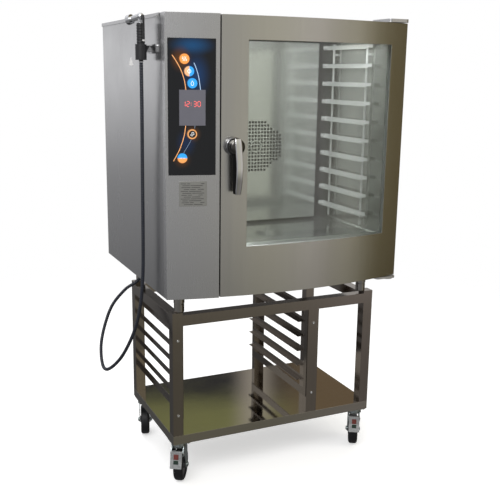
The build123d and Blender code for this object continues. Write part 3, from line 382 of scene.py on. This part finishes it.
TYRE = dull("tyre_black", (0.010, 0.010, 0.013), 0.50, grit=600, depth=0.35)
HUB = dull("hub_grey", (0.10, 0.10, 0.11), 0.45, grit=500)
RUBBER = dull("rubber_black", (0.03, 0.03, 0.03), 0.6, grit=700, depth=0.3)
WOOL = dull("mineral_wool", (0.62, 0.55, 0.38), 0.95, grit=180, depth=1.0)
MOTOR = dull("motor_grey", (0.16, 0.17, 0.19), 0.5, grit=120, depth=0.3, metallic=0.4)
BOARD = dull("board_green", (0.03, 0.16, 0.08), 0.45, grit=400)
WHITE_PRINT = dull("white_print", (0.97, 0.97, 0.96), 0.5, vary=0.02)
RED_PRINT = dull("pedal_red", (0.17, 0.035, 0.028), 0.5)
GREEN_PRINT = dull("pedal_green", (0.008, 0.028, 0.016), 0.5)
INK = dull("label_ink", (0.07, 0.07, 0.07), 0.6)
OUTER_PANE = pane("outer_pane", (0.975, 0.985, 0.978), 0.03)
INNER_PANE = pane("inner_pane", (0.975, 0.985, 0.978), 0.02)
ORANGE_LINE = glow("orange_line", (0.90, 0.42, 0.16), 0.55)
BLUE_LINE = glow("blue_line", (0.45, 0.62, 0.86), 0.5)
GREY_LINE = glow("grey_line", (0.22, 0.30, 0.42), 0.35)
WHITE_ICON = glow("white_icon", (0.85, 0.88, 0.90), 0.6)
RED_DIGIT = glow("red_digit", (0.90, 0.13, 0.12), 0.9)
SCREEN = dull("screen_grey", (0.165, 0.165, 0.20), 0.35, grit=1500, depth=0.05, vary=0.06)


def lamp_glass():
    """Frosted lens of the cavity lamp, lit from behind."""
    material, tree = start("lamp_glass")
    cloud = noise(tree, (90, 90, 90), 3.0)
    shade = mix(tree, cloud, rgba((1.0, 0.93, 0.80)), rgba((1.0, 0.98, 0.92)))
    shader = add(tree, "ShaderNodeBsdfPrincipled", {"Base Color": shade, "Roughness": 0.35,
                                                    "Emission Color": shade, "Emission Strength": 4.0})
    end(tree, shader.outputs[0])
    return material


def distance(tree, spot, x, z, stretch_z=1.0):
    """How far a point of the front is from (x, z)."""
    parts = add(tree, "ShaderNodeSeparateXYZ", {0: spot})
    dx = maths(tree, "SUBTRACT", parts.outputs[0], x)
    dz = maths(tree, "MULTIPLY", maths(tree, "SUBTRACT", parts.outputs[2], z), stretch_z)
    square = maths(tree, "ADD", maths(tree, "MULTIPLY", dx, dx), maths(tree, "MULTIPLY", dz, dz))
    return maths(tree, "SQRT", square)


def panel_glass():
    """Black control glass with soft blue and orange light behind it around the keys."""
    material, tree = start("panel_black")
    spot = place(tree)
    dust = noise(tree, (14, 14, 14), 5.0, 0.7)
    light = rgba((0, 0, 0))
    low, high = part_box("control_glass")
    halos = [
        ((low.x + high.x) / 2, high.z - 0.022, 0.085, (0.0, 0.055, 0.16), 2.2),
        (middle("key_combi").x + 0.022, middle("key_combi").z - 0.012, 0.055, (0.0, 0.03, 0.11), 0.6),
        (middle("key_convection").x - 0.012, middle("key_convection").z, 0.040, (0.10, 0.03, 0.0), 0.8),
        (middle("key_program").x, middle("key_program").z, 0.034, (0.10, 0.035, 0.0), 1.0),
        (middle("key_power").x, middle("key_power").z - 0.006, 0.034, (0.06, 0.02, 0.0), 1.0),
        (middle("key_power").x + 0.012, middle("key_power").z + 0.05, 0.04, (0.0, 0.012, 0.05), 0.7),
    ]
    for x, z, reach, colour, stretch in halos:
        near = remap(tree, distance(tree, spot, x, z, stretch), 0.0, reach, 1.0, 0.0)
        light = mix(tree, near, light, rgba(colour))
    gloss = remap(tree, dust, 0.35, 0.75, 0.05, 0.16)
    shader = add(tree, "ShaderNodeBsdfPrincipled", {"Base Color": rgba((0.008, 0.009, 0.011)),
                                                    "Roughness": gloss, "Emission Color": light,
                                                    "Emission Strength": 1.0,
                                                    "Normal": soft_edges(tree, 0.001)})
    end(tree, shader.outputs[0])
    return material


def key_finish(node, near, far, axis, rim=None):
    """A lit key: one colour, two halves along an axis, or a coloured rim round a dark middle."""
    centre = middle(node)
    material, tree = start("lit_" + node)
    spot = place(tree)
    parts = add(tree, "ShaderNodeSeparateXYZ", {0: spot})
    side = maths(tree, "SUBTRACT", parts.outputs[axis], centre[axis])
    shade = mix(tree, remap(tree, side, -0.002, 0.002), rgba(near), rgba(far))
    reach = distance(tree, spot, centre.x, centre.z)
    if rim:
        shade = mix(tree, remap(tree, reach, 0.0115, 0.0125), shade, rgba(rim))
    shade = mix(tree, remap(tree, reach, 0.014, 0.0175, 0.0, 0.75), shade, rgba((0, 0, 0)))
    grain = noise(tree, (300, 300, 300), 2.0)
    gloss = remap(tree, grain, 0.3, 0.7, 0.18, 0.3)
    shader = add(tree, "ShaderNodeBsdfPrincipled", {"Base Color": shade, "Roughness": gloss,
                                                    "Emission Color": shade, "Emission Strength": 0.55,
                                                    "Normal": soft_edges(tree, 0.0006)})
    end(tree, shader.outputs[0])
    return material


ORANGE = (0.86, 0.30, 0.07)
BLUE = (0.03, 0.33, 0.82)
NIGHT = (0.02, 0.015, 0.012)

# ---------------------------------------------------------------- finishes on the CAD nodes
CORNERS = ("front_left", "front_right", "rear_left", "rear_right")
FINISH = {
    "left_side_panel": CASING, "right_side_panel": CASING, "top_panel": CASING, "rear_panel": CASING,
    "base_pan": CASING, "control_fascia": FASCIA, "hinge_brackets": FASCIA, "oven_feet": FOOT,
    "latch_keeper": CASING, "shower_holder": CASING, "door_skin": DOOR, "cavity_liner": CAVITY,
    "fan_baffle": BAFFLE, "door_inner_pan": PAN, "drain_strainer": CAVITY, "drain_pipe": CAVITY,
    # the fan wheel takes the near-black painted-shade finish, not a steel colour of its own
    "vent_pipe": CAVITY, "vent_damper": CAVITY, "fan_wheel": FAN_CHAMBER_SHADE, "steam_generator": CAVITY,
    "latch_cam": CHROME, "left_rack": RACK, "right_rack": RACK, "stand_frame": STAND,
    "stand_shelf": SHELF, "tray_runners": RUNNER, "screws": CHROME, "caster_plates": ZINC,
    "door_gasket": RUBBER, "handle_boss": BOSS, "label_plate": LABEL,
    "door_outer_glass": OUTER_PANE, "door_inner_glass": INNER_PANE, "cavity_lamp": lamp_glass(),
    "insulation_jacket": WOOL, "fan_motor": MOTOR, "heating_element": DARK_STEEL,
    "water_valves": BRASS, "control_board": BOARD, "display_screen": SCREEN,
    "shower_body": GRIP_BLACK, "shower_lever": GRIP_BLACK,
    "handle_lever": HANDLE_SILVER, "shower_hose": HOSE,
    "control_glass": panel_glass(),
    "key_convection": key_finish("key_convection", ORANGE, ORANGE, 0),
    "key_combi": key_finish("key_combi", (0.80, 0.42, 0.22), BLUE, 0),
    "key_steam": key_finish("key_steam", BLUE, BLUE, 0),
    "key_program": key_finish("key_program", NIGHT, NIGHT, 0, rim=(0.72, 0.33, 0.12)),
    "key_power": key_finish("key_power", (0.80, 0.33, 0.10), BLUE, 2),
}
for corner in CORNERS:
    FINISH["caster_fork_" + corner] = ZINC
    FINISH["caster_wheel_" + corner] = TYRE
    if corner.startswith("front"):
        FINISH["brake_pedal_" + corner] = PEDAL_ZINC

for node, obj in frame["nodes"].items():
    obj.data.materials.clear()
    obj.data.materials.append(FINISH[node])


def second_finish(node, material, chosen):
    """Gives the faces that a test picks another finish on the same CAD node."""
    mesh = frame["nodes"][node].data
    mesh.materials.append(material)
    for face in mesh.polygons:
        face.material_index = 1 if chosen(face.center, face.normal) else 0


CHAMBER_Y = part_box("fan_baffle")[0].y + 0.006
HUB_R = 0.0465
# painted shade: the liner's front- and back-facing faces behind the baffle get the near-black finish, for the
# shade in the fan chamber
second_finish("cavity_liner", FAN_CHAMBER_SHADE, lambda c, n: c.y > CHAMBER_Y and abs(n.y) > 0.5)
for corner in CORNERS:
    hub = middle("caster_wheel_" + corner)
    second_finish("caster_wheel_" + corner, HUB, lambda c, n, hub=hub: (c - hub).length < HUB_R)


# ---------------------------------------------------------------- handle
def rounded_section(half_x, half_y, radius, steps=5):
    """Corner points of a rounded rectangle, anticlockwise."""
    points = []
    for corner, (sx, sy) in enumerate(((1, 1), (-1, 1), (-1, -1), (1, -1))):
        for step in range(steps + 1):
            angle = math.pi / 2 * (corner + step / steps)
            points.append((sx * (half_x - radius) + radius * math.cos(angle),
                           sy * (half_y - radius) + radius * math.sin(angle)))
    return points


def handle():
    """Curved lever: a black body behind a silver front that wraps over its top."""
    low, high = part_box("handle_lever")
    x = (low.x + high.x) / 2
    turn = Vector(joint("handle_turn")["pos_m"])
    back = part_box("handle_boss")[0].y - 0.001
    top, tip = turn.z + 0.027, low.z
    front = curve_through([Vector((0, back - 0.029, top)), Vector((0, back - 0.0440, turn.z - 0.045)),
                           Vector((0, back - 0.0445, turn.z - 0.10)), Vector((0, back - 0.0345, tip))], 10)
    rear = curve_through([Vector((0, back - 0.001, top)), Vector((0, back - 0.003, turn.z - 0.038)),
                          Vector((0, back - 0.0010, turn.z - 0.095)), Vector((0, back - 0.0030, tip))], 10)
    body_rings, face_rings = [], []
    for i, (f, r) in enumerate(zip(front, rear)):
        share = i / (len(front) - 1)
        half_w = 0.0125 - 0.0022 * share
        end_in = min(1.0, min(i + 0.35, len(front) - 1 - i + 0.35) / 2.0)
        cap_y = f.y + 0.0075
        mid = (cap_y + r.y) / 2
        half_y = (r.y - cap_y) / 2
        body_rings.append([Vector((x + px * (0.9 + 0.1 * end_in), mid + py, f.z))
                           for px, py in rounded_section(half_w - 0.0014, half_y, 0.004)])
        depth = (cap_y - f.y + 0.0004) / 2
        face_rings.append([Vector((x + px * (0.82 + 0.18 * end_in), f.y + depth + py * (0.7 + 0.3 * end_in),
                                   f.z)) for px, py in rounded_section(half_w, depth, 0.0032)])
    body = piece("handle_body", *outward(*loft(body_rings)), HANDLE_BLACK, "handle", "handle_black")
    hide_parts("handle_lever")
    piece("handle_front", *outward(*loft(face_rings)), HANDLE_SILVER, "handle", "handle_silver")
    hub_rings = []
    for y, r in ((back, 0.0255), (back - 0.020, 0.0270), (back - 0.026, 0.0255), (back - 0.029, 0.0215),
                 (back - 0.0305, 0.016)):
        hub_rings.append([Vector((x + r * math.cos(a), y, turn.z + r * math.sin(a)))
                          for a in (2 * math.pi * k / 48 for k in range(48))])
    piece("handle_hub", *outward(*loft(hub_rings)), HUB_STEEL, "handle", "handle_black")


handle()


# ---------------------------------------------------------------- hose
HOSE_RADIUS = 0.0064
HOSE_STEP = 0.0022
HOSE_RIBS = (0.0, 0.0004, 0.0, -0.0008)


def hose():
    """Corrugated shower hose: hangs from the grip, swings out behind and enters the oven's underside."""
    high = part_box("shower_hose")[1]
    x0, y0 = -0.505, -0.188
    way = [
        (x0, y0, high.z), (-0.502, -0.178, 1.400), (-0.500, -0.165, 1.162), (-0.500, -0.160, 0.946),
        (-0.501, -0.153, 0.815), (-0.508, -0.140, 0.700), (-0.524, -0.110, 0.592), (-0.556, -0.040, 0.470),
        (-0.586, 0.060, 0.388), (-0.588, 0.140, 0.392), (-0.572, 0.196, 0.470), (-0.530, 0.205, 0.590),
        (-0.478, 0.180, 0.668), (-0.435, 0.158, 0.704), (-0.412, 0.150, 0.735),
        (-0.410, 0.150, high.z - 0.773),
    ]
    coarse = curve_through([Vector(p) for p in way], 24)
    line = [coarse[0]]
    left = HOSE_STEP
    for a, b in zip(coarse, coarse[1:]):
        length = (b - a).length
        while left <= length:
            line.append(a.lerp(b, left / length))
            left += HOSE_STEP
        left -= length
    radii = [HOSE_RADIUS + HOSE_RIBS[i % len(HOSE_RIBS)] for i in range(len(line))]
    vertices, faces = tube(line, radii, 14)
    obj = piece("hose", vertices, faces, HOSE, None, "hose_black")
    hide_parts("shower_hose")
    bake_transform(obj)


hose()


# ---------------------------------------------------------------- hand shower
HEAD_FROM_Z = 1.6905
BALL_DROP = 0.0705
CUP_TO_X = -0.4835


def shower():
    """The second finishes: the gun's chrome head, the ball on its lever, and the holder's black cup."""
    pivot = Vector(joint("hand_shower_squeeze")["pos_m"])
    second_finish("shower_body", CHROME, lambda c, n: c.z > HEAD_FROM_Z)
    second_finish("shower_lever", WHITE_PRINT, lambda c, n: c.z < pivot.z - BALL_DROP)
    second_finish("shower_holder", GRIP_BLACK, lambda c, n: c.x < CUP_TO_X)


shower()


# ---------------------------------------------------------------- control glass prints
GLASS_OUT = 0.0012
KEY_OUT = 0.0023
SCREEN_OUT = 0.0017
SUNK = 0.0001


def print_lines():
    """Two orange arcs and a blue one, cut where the screen and the program key are."""
    screen_low, screen_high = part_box("display_screen")
    key_low, key_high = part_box("key_program")
    arcs = {
        "arc_orange_upper": ([(-0.447, 1.587), (-0.430, 1.560), (-0.418, 1.536), (-0.409, 1.507),
                              (-0.404, screen_high.z)], 0.0022, ORANGE_LINE, "key_orange"),
        "arc_orange_lower": ([(-0.405, screen_low.z), (-0.411, 1.325), (-0.425, 1.283), (-0.445, 1.244)],
                             0.0022, ORANGE_LINE, "key_orange"),
        "arc_blue": ([(-0.378, 1.563), (-0.369, 1.540), (-0.362, 1.513), (-0.357, screen_high.z)],
                     0.0020, BLUE_LINE, "key_blue"),
        "arc_grey_upper": ([(-0.375, screen_low.z), (-0.3765, key_high.z + 0.002)],
                           0.0012, GREY_LINE, "key_blue"),
        "arc_grey_lower": ([(-0.3875, key_low.z - 0.001), (-0.394, 1.302), (-0.412, 1.272)],
                           0.0012, GREY_LINE, "key_blue"),
    }
    for name, (points, width, material, slot) in arcs.items():
        vertices, faces = ribbon(flat_curve(points), width, GLASS_OUT - SUNK)
        piece(name, vertices, faces, material, "cabinet", slot, smooth=False)


SEGMENTS = {"0": "abcdef", "1": "bc", "2": "abged", "3": "abgcd"}
FIGURE_WIDE = 0.0085
FIGURE_TALL = 0.0165
FIGURE_BAR = 0.0021
FIGURE_GAP = 0.0012
CLOCK_START = 0.0315
CLOCK_RISE = 0.004
CLOCK = (("1", 0.0), ("2", 0.0135), ("3", 0.0355), ("0", 0.049))
COLON_ALONG = 0.0275
COLON_RISES = (0.005, 0.0115)


def digit(text, x, z):
    """One seven-bar figure standing on (x, z)."""
    wide, tall = FIGURE_WIDE, FIGURE_TALL
    ends = {
        "a": ((0, tall), (wide, tall)), "b": ((wide, tall), (wide, tall / 2)),
        "c": ((wide, tall / 2), (wide, 0)), "d": ((0, 0), (wide, 0)), "e": ((0, tall / 2), (0, 0)),
        "f": ((0, tall), (0, tall / 2)), "g": ((0, tall / 2), (wide, tall / 2)),
    }
    bars = []
    for segment in SEGMENTS[text]:
        (ax, az), (bx, bz) = ends[segment]
        along = Vector((bx - ax, bz - az)).normalized() * FIGURE_GAP
        bars.append(ribbon([(x + ax + along.x, z + az + along.y), (x + bx - along.x, z + bz - along.y)],
                           FIGURE_BAR, SCREEN_OUT - SUNK))
    return bars


def print_clock():
    """A generic time on the display."""
    centre = middle("display_screen")
    bars = []
    x = centre.x - CLOCK_START
    z = centre.z + CLOCK_RISE
    for text, along in CLOCK:
        bars += digit(text, x + along, z)
    for rise in COLON_RISES:
        dot = [(x + COLON_ALONG, z + rise - 0.001), (x + COLON_ALONG, z + rise + 0.001)]
        bars.append(ribbon(dot, 0.002, SCREEN_OUT - SUNK))
    piece("clock_figures", *joined(bars), RED_DIGIT, "cabinet", "key_orange", smooth=False)


def icon(node, strokes, width=0.0016):
    """White strokes on a key, each a line of points about its middle and whether it closes."""
    centre = middle(node)
    bars = []
    for points, closed in strokes:
        moved = [(centre.x + x, centre.z + z) for x, z in points]
        bars.append(ribbon(moved, width, KEY_OUT - SUNK, closed=closed))
    piece("icon_" + node[4:], *joined(bars), WHITE_ICON, node, "screen_grey", smooth=False)


def print_icons():
    waves = []
    for dx in (-0.005, 0.0, 0.005):
        waves.append((flat_curve([(dx, -0.007), (dx + 0.0018, -0.003), (dx - 0.0018, 0.002),
                                  (dx, 0.007)], 5), False))
    icon("key_convection", waves)
    icon("key_combi", [([(0, -0.009), (0, 0.009)], False), (ring_points(0.0055, 20), True)])
    drop = [(0, 0.008), (0.0032, 0.002), (0.0045, -0.0025), (0.0028, -0.0062), (0, -0.0074),
            (-0.0028, -0.0062), (-0.0045, -0.0025), (-0.0032, 0.002)]
    icon("key_steam", [(drop, True)])
    leaf = [(-0.006, -0.003), (-0.001, 0.001), (-0.001, 0.006), (0.005, 0.005), (0.006, -0.001),
            (0.001, -0.002), (0.0, -0.006)]
    icon("key_program", [(leaf, True)])
    icon("key_power", [([(dx - 0.0011, 0.0), (dx + 0.0011, 0.0)], False)
                       for dx in (-0.0075, -0.0025, 0.0025, 0.0075)], 0.0024)


LABEL_ROWS = 12
LABEL_TOP = 0.008
LABEL_PITCH = 0.0064
LABEL_BEGINS = (0.006, 0.011, 0.008, 0.016)
LABEL_ENDS = (0.008, 0.014, 0.022, 0.010, 0.018)
LABEL_SPACE = 0.003


def print_label():
    """Plain ruled lines where the plate carries its data."""
    low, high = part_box("label_plate")
    lines = []
    for row in range(LABEL_ROWS):
        z = high.z - LABEL_TOP - row * LABEL_PITCH
        begin = low.x + LABEL_BEGINS[row % len(LABEL_BEGINS)]
        stop = high.x - LABEL_ENDS[row % len(LABEL_ENDS)]
        split = begin + 0.018 + 0.006 * (row % 3)
        for first, last in ((begin, split), (split + LABEL_SPACE, stop)):
            lines.append(ribbon([(first, z), (last, z)], 0.0020, 0.0007, 0.0003))
    piece("label_lines", *joined(lines), INK, "cabinet", "rubber_black", smooth=False)


print_lines()
print_clock()
print_icons()
print_label()


# ---------------------------------------------------------------- stickers and pedal marks
def side_mark():
    """A blank white triangle on the left side."""
    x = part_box("left_side_panel")[0].x
    corners = [(x, 0.022, 1.554), (x, 0.079, 1.554), (x, 0.0505, 1.584)]
    piece("side_triangle", *slab(corners, (-1, 0, 0), 0.0004), WHITE_PRINT, "cabinet", "screen_grey", False)


def pedal_marks(corner):
    """Two coloured pads on the pedal's upper face, in the pedal's own slope and turn."""
    spin = Vector(joint("swivel_" + corner)["pos_m"])
    across = Vector(joint("spin_wheel_" + corner)["axis"]).normalized()
    ahead = Vector((across.y, -across.x, 0))
    if ahead.y > 0:
        ahead = -ahead
    down = [(0.0512, 0.1480), (0.0572, 0.1190), (0.0638, 0.0985)]

    def at(side, share, lift):
        """A point on the plate's front face, by distance across and share of its length."""
        part = share * (len(down) - 1)
        i = min(int(part), len(down) - 2)
        t = part - i
        out = down[i][0] * (1 - t) + down[i + 1][0] * t
        z = down[i][1] * (1 - t) + down[i + 1][1] * t
        return Vector((spin.x, spin.y, 0)) + across * side + ahead * (out + lift) + Vector((0, 0, z))

    for name, s0, s1, material, slot in (("red", 0.14, 0.46, RED_PRINT, "key_orange"),
                                         ("green", 0.54, 0.84, GREEN_PRINT, "board_green")):
        loops = []
        for lift in (0.0002, 0.0024):
            loops.append([at(side, share, lift) for side, share in
                          ((-0.009, s0), (0.009, s0), (0.009, (s0 + s1) / 2), (0.009, s1), (-0.009, s1),
                           (-0.009, (s0 + s1) / 2))])
        vertices, faces = outward(*loft(loops))
        piece(f"pedal_{name}_{corner}", vertices, faces, material, "pedal_" + corner, slot, False)


side_mark()
pedal_marks("front_left")
pedal_marks("front_right")


# ---------------------------------------------------------------- stage
def side_lamp(tree, parts):
    """A gain that makes a soft bright patch behind and to the left, for the left panel to show."""
    turn = maths(tree, "ARCTAN2", parts.outputs[0], parts.outputs[1])
    across = maths(tree, "DIVIDE", maths(tree, "ADD", turn, math.radians(16.0)), math.radians(3.5))
    up = maths(tree, "DIVIDE", maths(tree, "SUBTRACT", parts.outputs[2], 0.02), 0.085)
    square = maths(tree, "ADD", maths(tree, "MULTIPLY", across, across), maths(tree, "MULTIPLY", up, up))
    return remap(tree, maths(tree, "SQRT", square), 0.0, 1.0, 2.9, 1.0)


def far_wall(tree, parts, tone):
    """Dark, olive and brown areas of the room behind, low over the floor, for the shelf to show."""
    turn = maths(tree, "ARCTAN2", parts.outputs[0], parts.outputs[1])
    low = remap(tree, parts.outputs[2], 0.27, 0.33)
    high = remap(tree, parts.outputs[2], 0.47, 0.58, 1.0, 0.0)
    here = maths(tree, "MULTIPLY", remap(tree, turn, math.radians(6), math.radians(12)),
                 remap(tree, turn, math.radians(42), math.radians(52), 1.0, 0.0))
    here = maths(tree, "MULTIPLY", here, maths(tree, "MULTIPLY", low, high))
    wall = mix(tree, remap(tree, parts.outputs[2], 0.392, 0.412), rgba((0.045, 0.045, 0.05)),
               rgba((0.25, 0.26, 0.12)))
    wall = mix(tree, remap(tree, turn, math.radians(25), math.radians(31)), wall, rgba((0.19, 0.14, 0.09)))
    streak = remap(tree, maths(tree, "ABSOLUTE", maths(tree, "SUBTRACT", turn, math.radians(25.5))),
                   0.0, math.radians(2.2), 0.8, 0.0)
    wall = mix(tree, streak, wall, rgba((0.50, 0.46, 0.42)))
    return mix(tree, here, tone, wall)


def world():
    """A plain studio round the object: pale to the eye, with wide soft tones for the steel to show."""
    scene_world = bpy.data.worlds.new("studio")
    bpy.context.scene.world = scene_world
    scene_world.use_nodes = True
    tree = scene_world.node_tree
    tree.nodes.clear()
    toward = add(tree, "ShaderNodeTexCoord").outputs["Generated"]
    parts = add(tree, "ShaderNodeSeparateXYZ", {0: toward})
    back = maths(tree, "MULTIPLY", parts.outputs[1], -1.0)
    azimuth = maths(tree, "ARCTAN2", parts.outputs[0], back)
    share = maths(tree, "ADD", maths(tree, "DIVIDE", azimuth, 2 * math.pi), 0.5)
    ramp = add(tree, "ShaderNodeValToRGB", {0: share})
    stops = [
        (-180, (0.60, 0.60, 0.61)), (-150, (0.53, 0.53, 0.54)), (-120, (0.50, 0.50, 0.51)),
        (-60, (0.42, 0.42, 0.43)), (-14, (0.38, 0.38, 0.38)), (4, (0.38, 0.375, 0.36)),
        (16, (0.50, 0.48, 0.40)), (26, (0.50, 0.485, 0.42)), (34, (0.62, 0.585, 0.57)),
        (40, (0.36, 0.34, 0.285)), (47, (0.50, 0.475, 0.385)), (55, (0.15, 0.125, 0.06)),
        (75, (0.09, 0.065, 0.03)), (100, (0.35, 0.34, 0.32)), (140, (0.6, 0.6, 0.6)),
        (180, (0.62, 0.62, 0.63)),
    ]
    band = ramp.color_ramp
    band.interpolation = "EASE"
    while len(band.elements) < len(stops):
        band.elements.new(0.5)
    for element, (degrees, _) in zip(band.elements, stops):
        element.position = degrees / 360 + 0.5
    for element, (_, colour) in zip(band.elements, stops):
        element.color = rgba(colour)
    above = remap(tree, parts.outputs[2], -0.38, -0.10, 0.35, 1.0)
    behind = remap(tree, parts.outputs[1], 0.3, 0.6)
    low_behind = maths(tree, "MULTIPLY", behind, remap(tree, parts.outputs[2], -0.13, -0.05, 0.5, 0.0))
    above = maths(tree, "MULTIPLY", above, maths(tree, "SUBTRACT", 1.0, low_behind))
    sky = remap(tree, parts.outputs[2], 0.25, 0.9, 1.0, 1.9)
    tone = add(tree, "ShaderNodeVectorMath", {0: ramp.outputs[0], 1: above}, operation="MULTIPLY").outputs[0]
    tone = add(tree, "ShaderNodeVectorMath", {0: tone, 1: sky}, operation="MULTIPLY").outputs[0]
    lamp = side_lamp(tree, parts)
    tone = add(tree, "ShaderNodeVectorMath", {0: tone, 1: lamp}, operation="MULTIPLY").outputs[0]
    tone = far_wall(tree, parts, tone)
    room = add(tree, "ShaderNodeBackground", {"Color": tone, "Strength": 1.0})
    plain = add(tree, "ShaderNodeBackground", {"Color": rgba((1, 1, 1)), "Strength": 1.0})
    seen = add(tree, "ShaderNodeLightPath").outputs["Is Camera Ray"]
    both = add(tree, "ShaderNodeMixShader", {0: seen, 1: room.outputs[0], 2: plain.outputs[0]})
    add(tree, "ShaderNodeOutputWorld", {"Surface": both.outputs[0]})


def floor():
    """A pale floor that fades into the background; the steel sees it darker."""
    size = 6.0
    mesh = bpy.data.meshes.new("floor")
    corners = [(-size, -size, 0), (size, -size, 0), (size, size, 0), (-size, size, 0)]
    mesh.from_pydata(corners, [], [(0, 1, 2, 3)])
    obj = bpy.data.objects.new("floor", mesh)
    bpy.context.scene.collection.objects.link(obj)
    material, tree = start("floor_pale")
    grain = noise(tree, (40, 40, 40), 4.0)
    pale = mix(tree, grain, rgba((0.76, 0.76, 0.76)), rgba((0.80, 0.80, 0.80)))
    matt = add(tree, "ShaderNodeBsdfDiffuse", {"Color": pale})
    lift = add(tree, "ShaderNodeEmission", {"Color": rgba((1, 1, 1)), "Strength": 0.52})
    lit = add(tree, "ShaderNodeAddShader", {0: matt.outputs[0], 1: lift.outputs[0]})
    dim = add(tree, "ShaderNodeBsdfDiffuse", {"Color": rgba((0.30, 0.28, 0.25))})
    paths = add(tree, "ShaderNodeLightPath")
    seen = add(tree, "ShaderNodeMixShader", {0: paths.outputs["Is Camera Ray"], 1: dim.outputs[0],
                                             2: lit.outputs[0]})
    reach = add(tree, "ShaderNodeVectorMath", {0: place(tree)}, operation="LENGTH").outputs["Value"]
    away = remap(tree, reach, 0.9, 3.2)
    clear = add(tree, "ShaderNodeBsdfTransparent")
    fade = maths(tree, "MULTIPLY", away, paths.outputs["Is Camera Ray"])
    both = add(tree, "ShaderNodeMixShader", {0: fade, 1: seen.outputs[0], 2: clear.outputs[0]})
    end(tree, both.outputs[0])
    mesh.materials.append(material)
    obj.visible_glossy = False


def area(name, spot, target, size, power, glossy=True):
    """A soft rectangular lamp aimed at a point; the eye never sees it, and polished steel may not."""
    light = bpy.data.lights.new(name, "AREA")
    light.shape = "RECTANGLE"
    light.size, light.size_y = size
    light.energy = power
    obj = bpy.data.objects.new(name, light)
    bpy.context.scene.collection.objects.link(obj)
    obj.location = spot
    obj.rotation_euler = (Vector(target) - Vector(spot)).to_track_quat("-Z", "Y").to_euler()
    obj.visible_glossy = glossy
    obj.visible_camera = False


def lights():
    """Three studio lamps outside, and three small ones in the cavity and the door's gap."""
    area("key", (-2.4, -2.6, 3.4), (0, 0, 0.9), (2.2, 1.6), 75)
    area("fill", (2.8, -2.4, 2.6), (0, 0, 0.9), (2.0, 2.0), 28, glossy=False)
    area("back", (-0.6, 2.8, 3.0), (0, 0, 1.1), (2.2, 1.6), 35, glossy=False)
    low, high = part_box("cavity_liner")
    mid_x, mid_z = (low.x + high.x) / 2, (low.z + high.z) / 2
    area("cavity_top", (mid_x + 0.06, -0.10, high.z - 0.02), (mid_x + 0.06, 0.0, low.z), (0.24, 0.14), 10)
    area("cavity_front", (mid_x, low.y + 0.01, high.z - 0.06), (mid_x, 0.3, high.z - 0.2), (0.50, 0.10), 4.4,
         glossy=False)
    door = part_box("door_outer_glass")
    area("door_gap", (door[0].x + 0.02, -0.315, mid_z), (door[1].x, -0.315, mid_z), (0.04, 0.6), 2.0,
         glossy=False)


CAMERA_AT = (-1.3050, -2.7907, 1.5340)
CAMERA_YAW = math.radians(25.01)
CAMERA_PITCH = math.radians(12.81)
CAMERA_ROLL = 0.0143


def camera():
    """In front and to the left, a little above the oven, and looking slightly down."""
    yaw, pitch, roll = CAMERA_YAW, CAMERA_PITCH, CAMERA_ROLL
    forward = Vector((math.sin(yaw) * math.cos(pitch), math.cos(yaw) * math.cos(pitch), -math.sin(pitch)))
    right = Vector((math.cos(yaw), -math.sin(yaw), 0))
    up = right.cross(forward)
    right_2 = math.cos(roll) * right + math.sin(roll) * up
    up_2 = -math.sin(roll) * right + math.cos(roll) * up
    data = bpy.data.cameras.new("camera")
    data.lens = 56.13
    data.sensor_width = 36.0
    data.clip_end = 60.0
    obj = bpy.data.objects.new("camera", data)
    bpy.context.scene.collection.objects.link(obj)
    turn = Matrix((right_2, up_2, -forward)).transposed().to_4x4()
    obj.matrix_world = Matrix.Translation(CAMERA_AT) @ turn
    bpy.context.scene.camera = obj


world()
floor()
lights()
camera()
bpy.context.scene.view_settings.view_transform = "Standard"
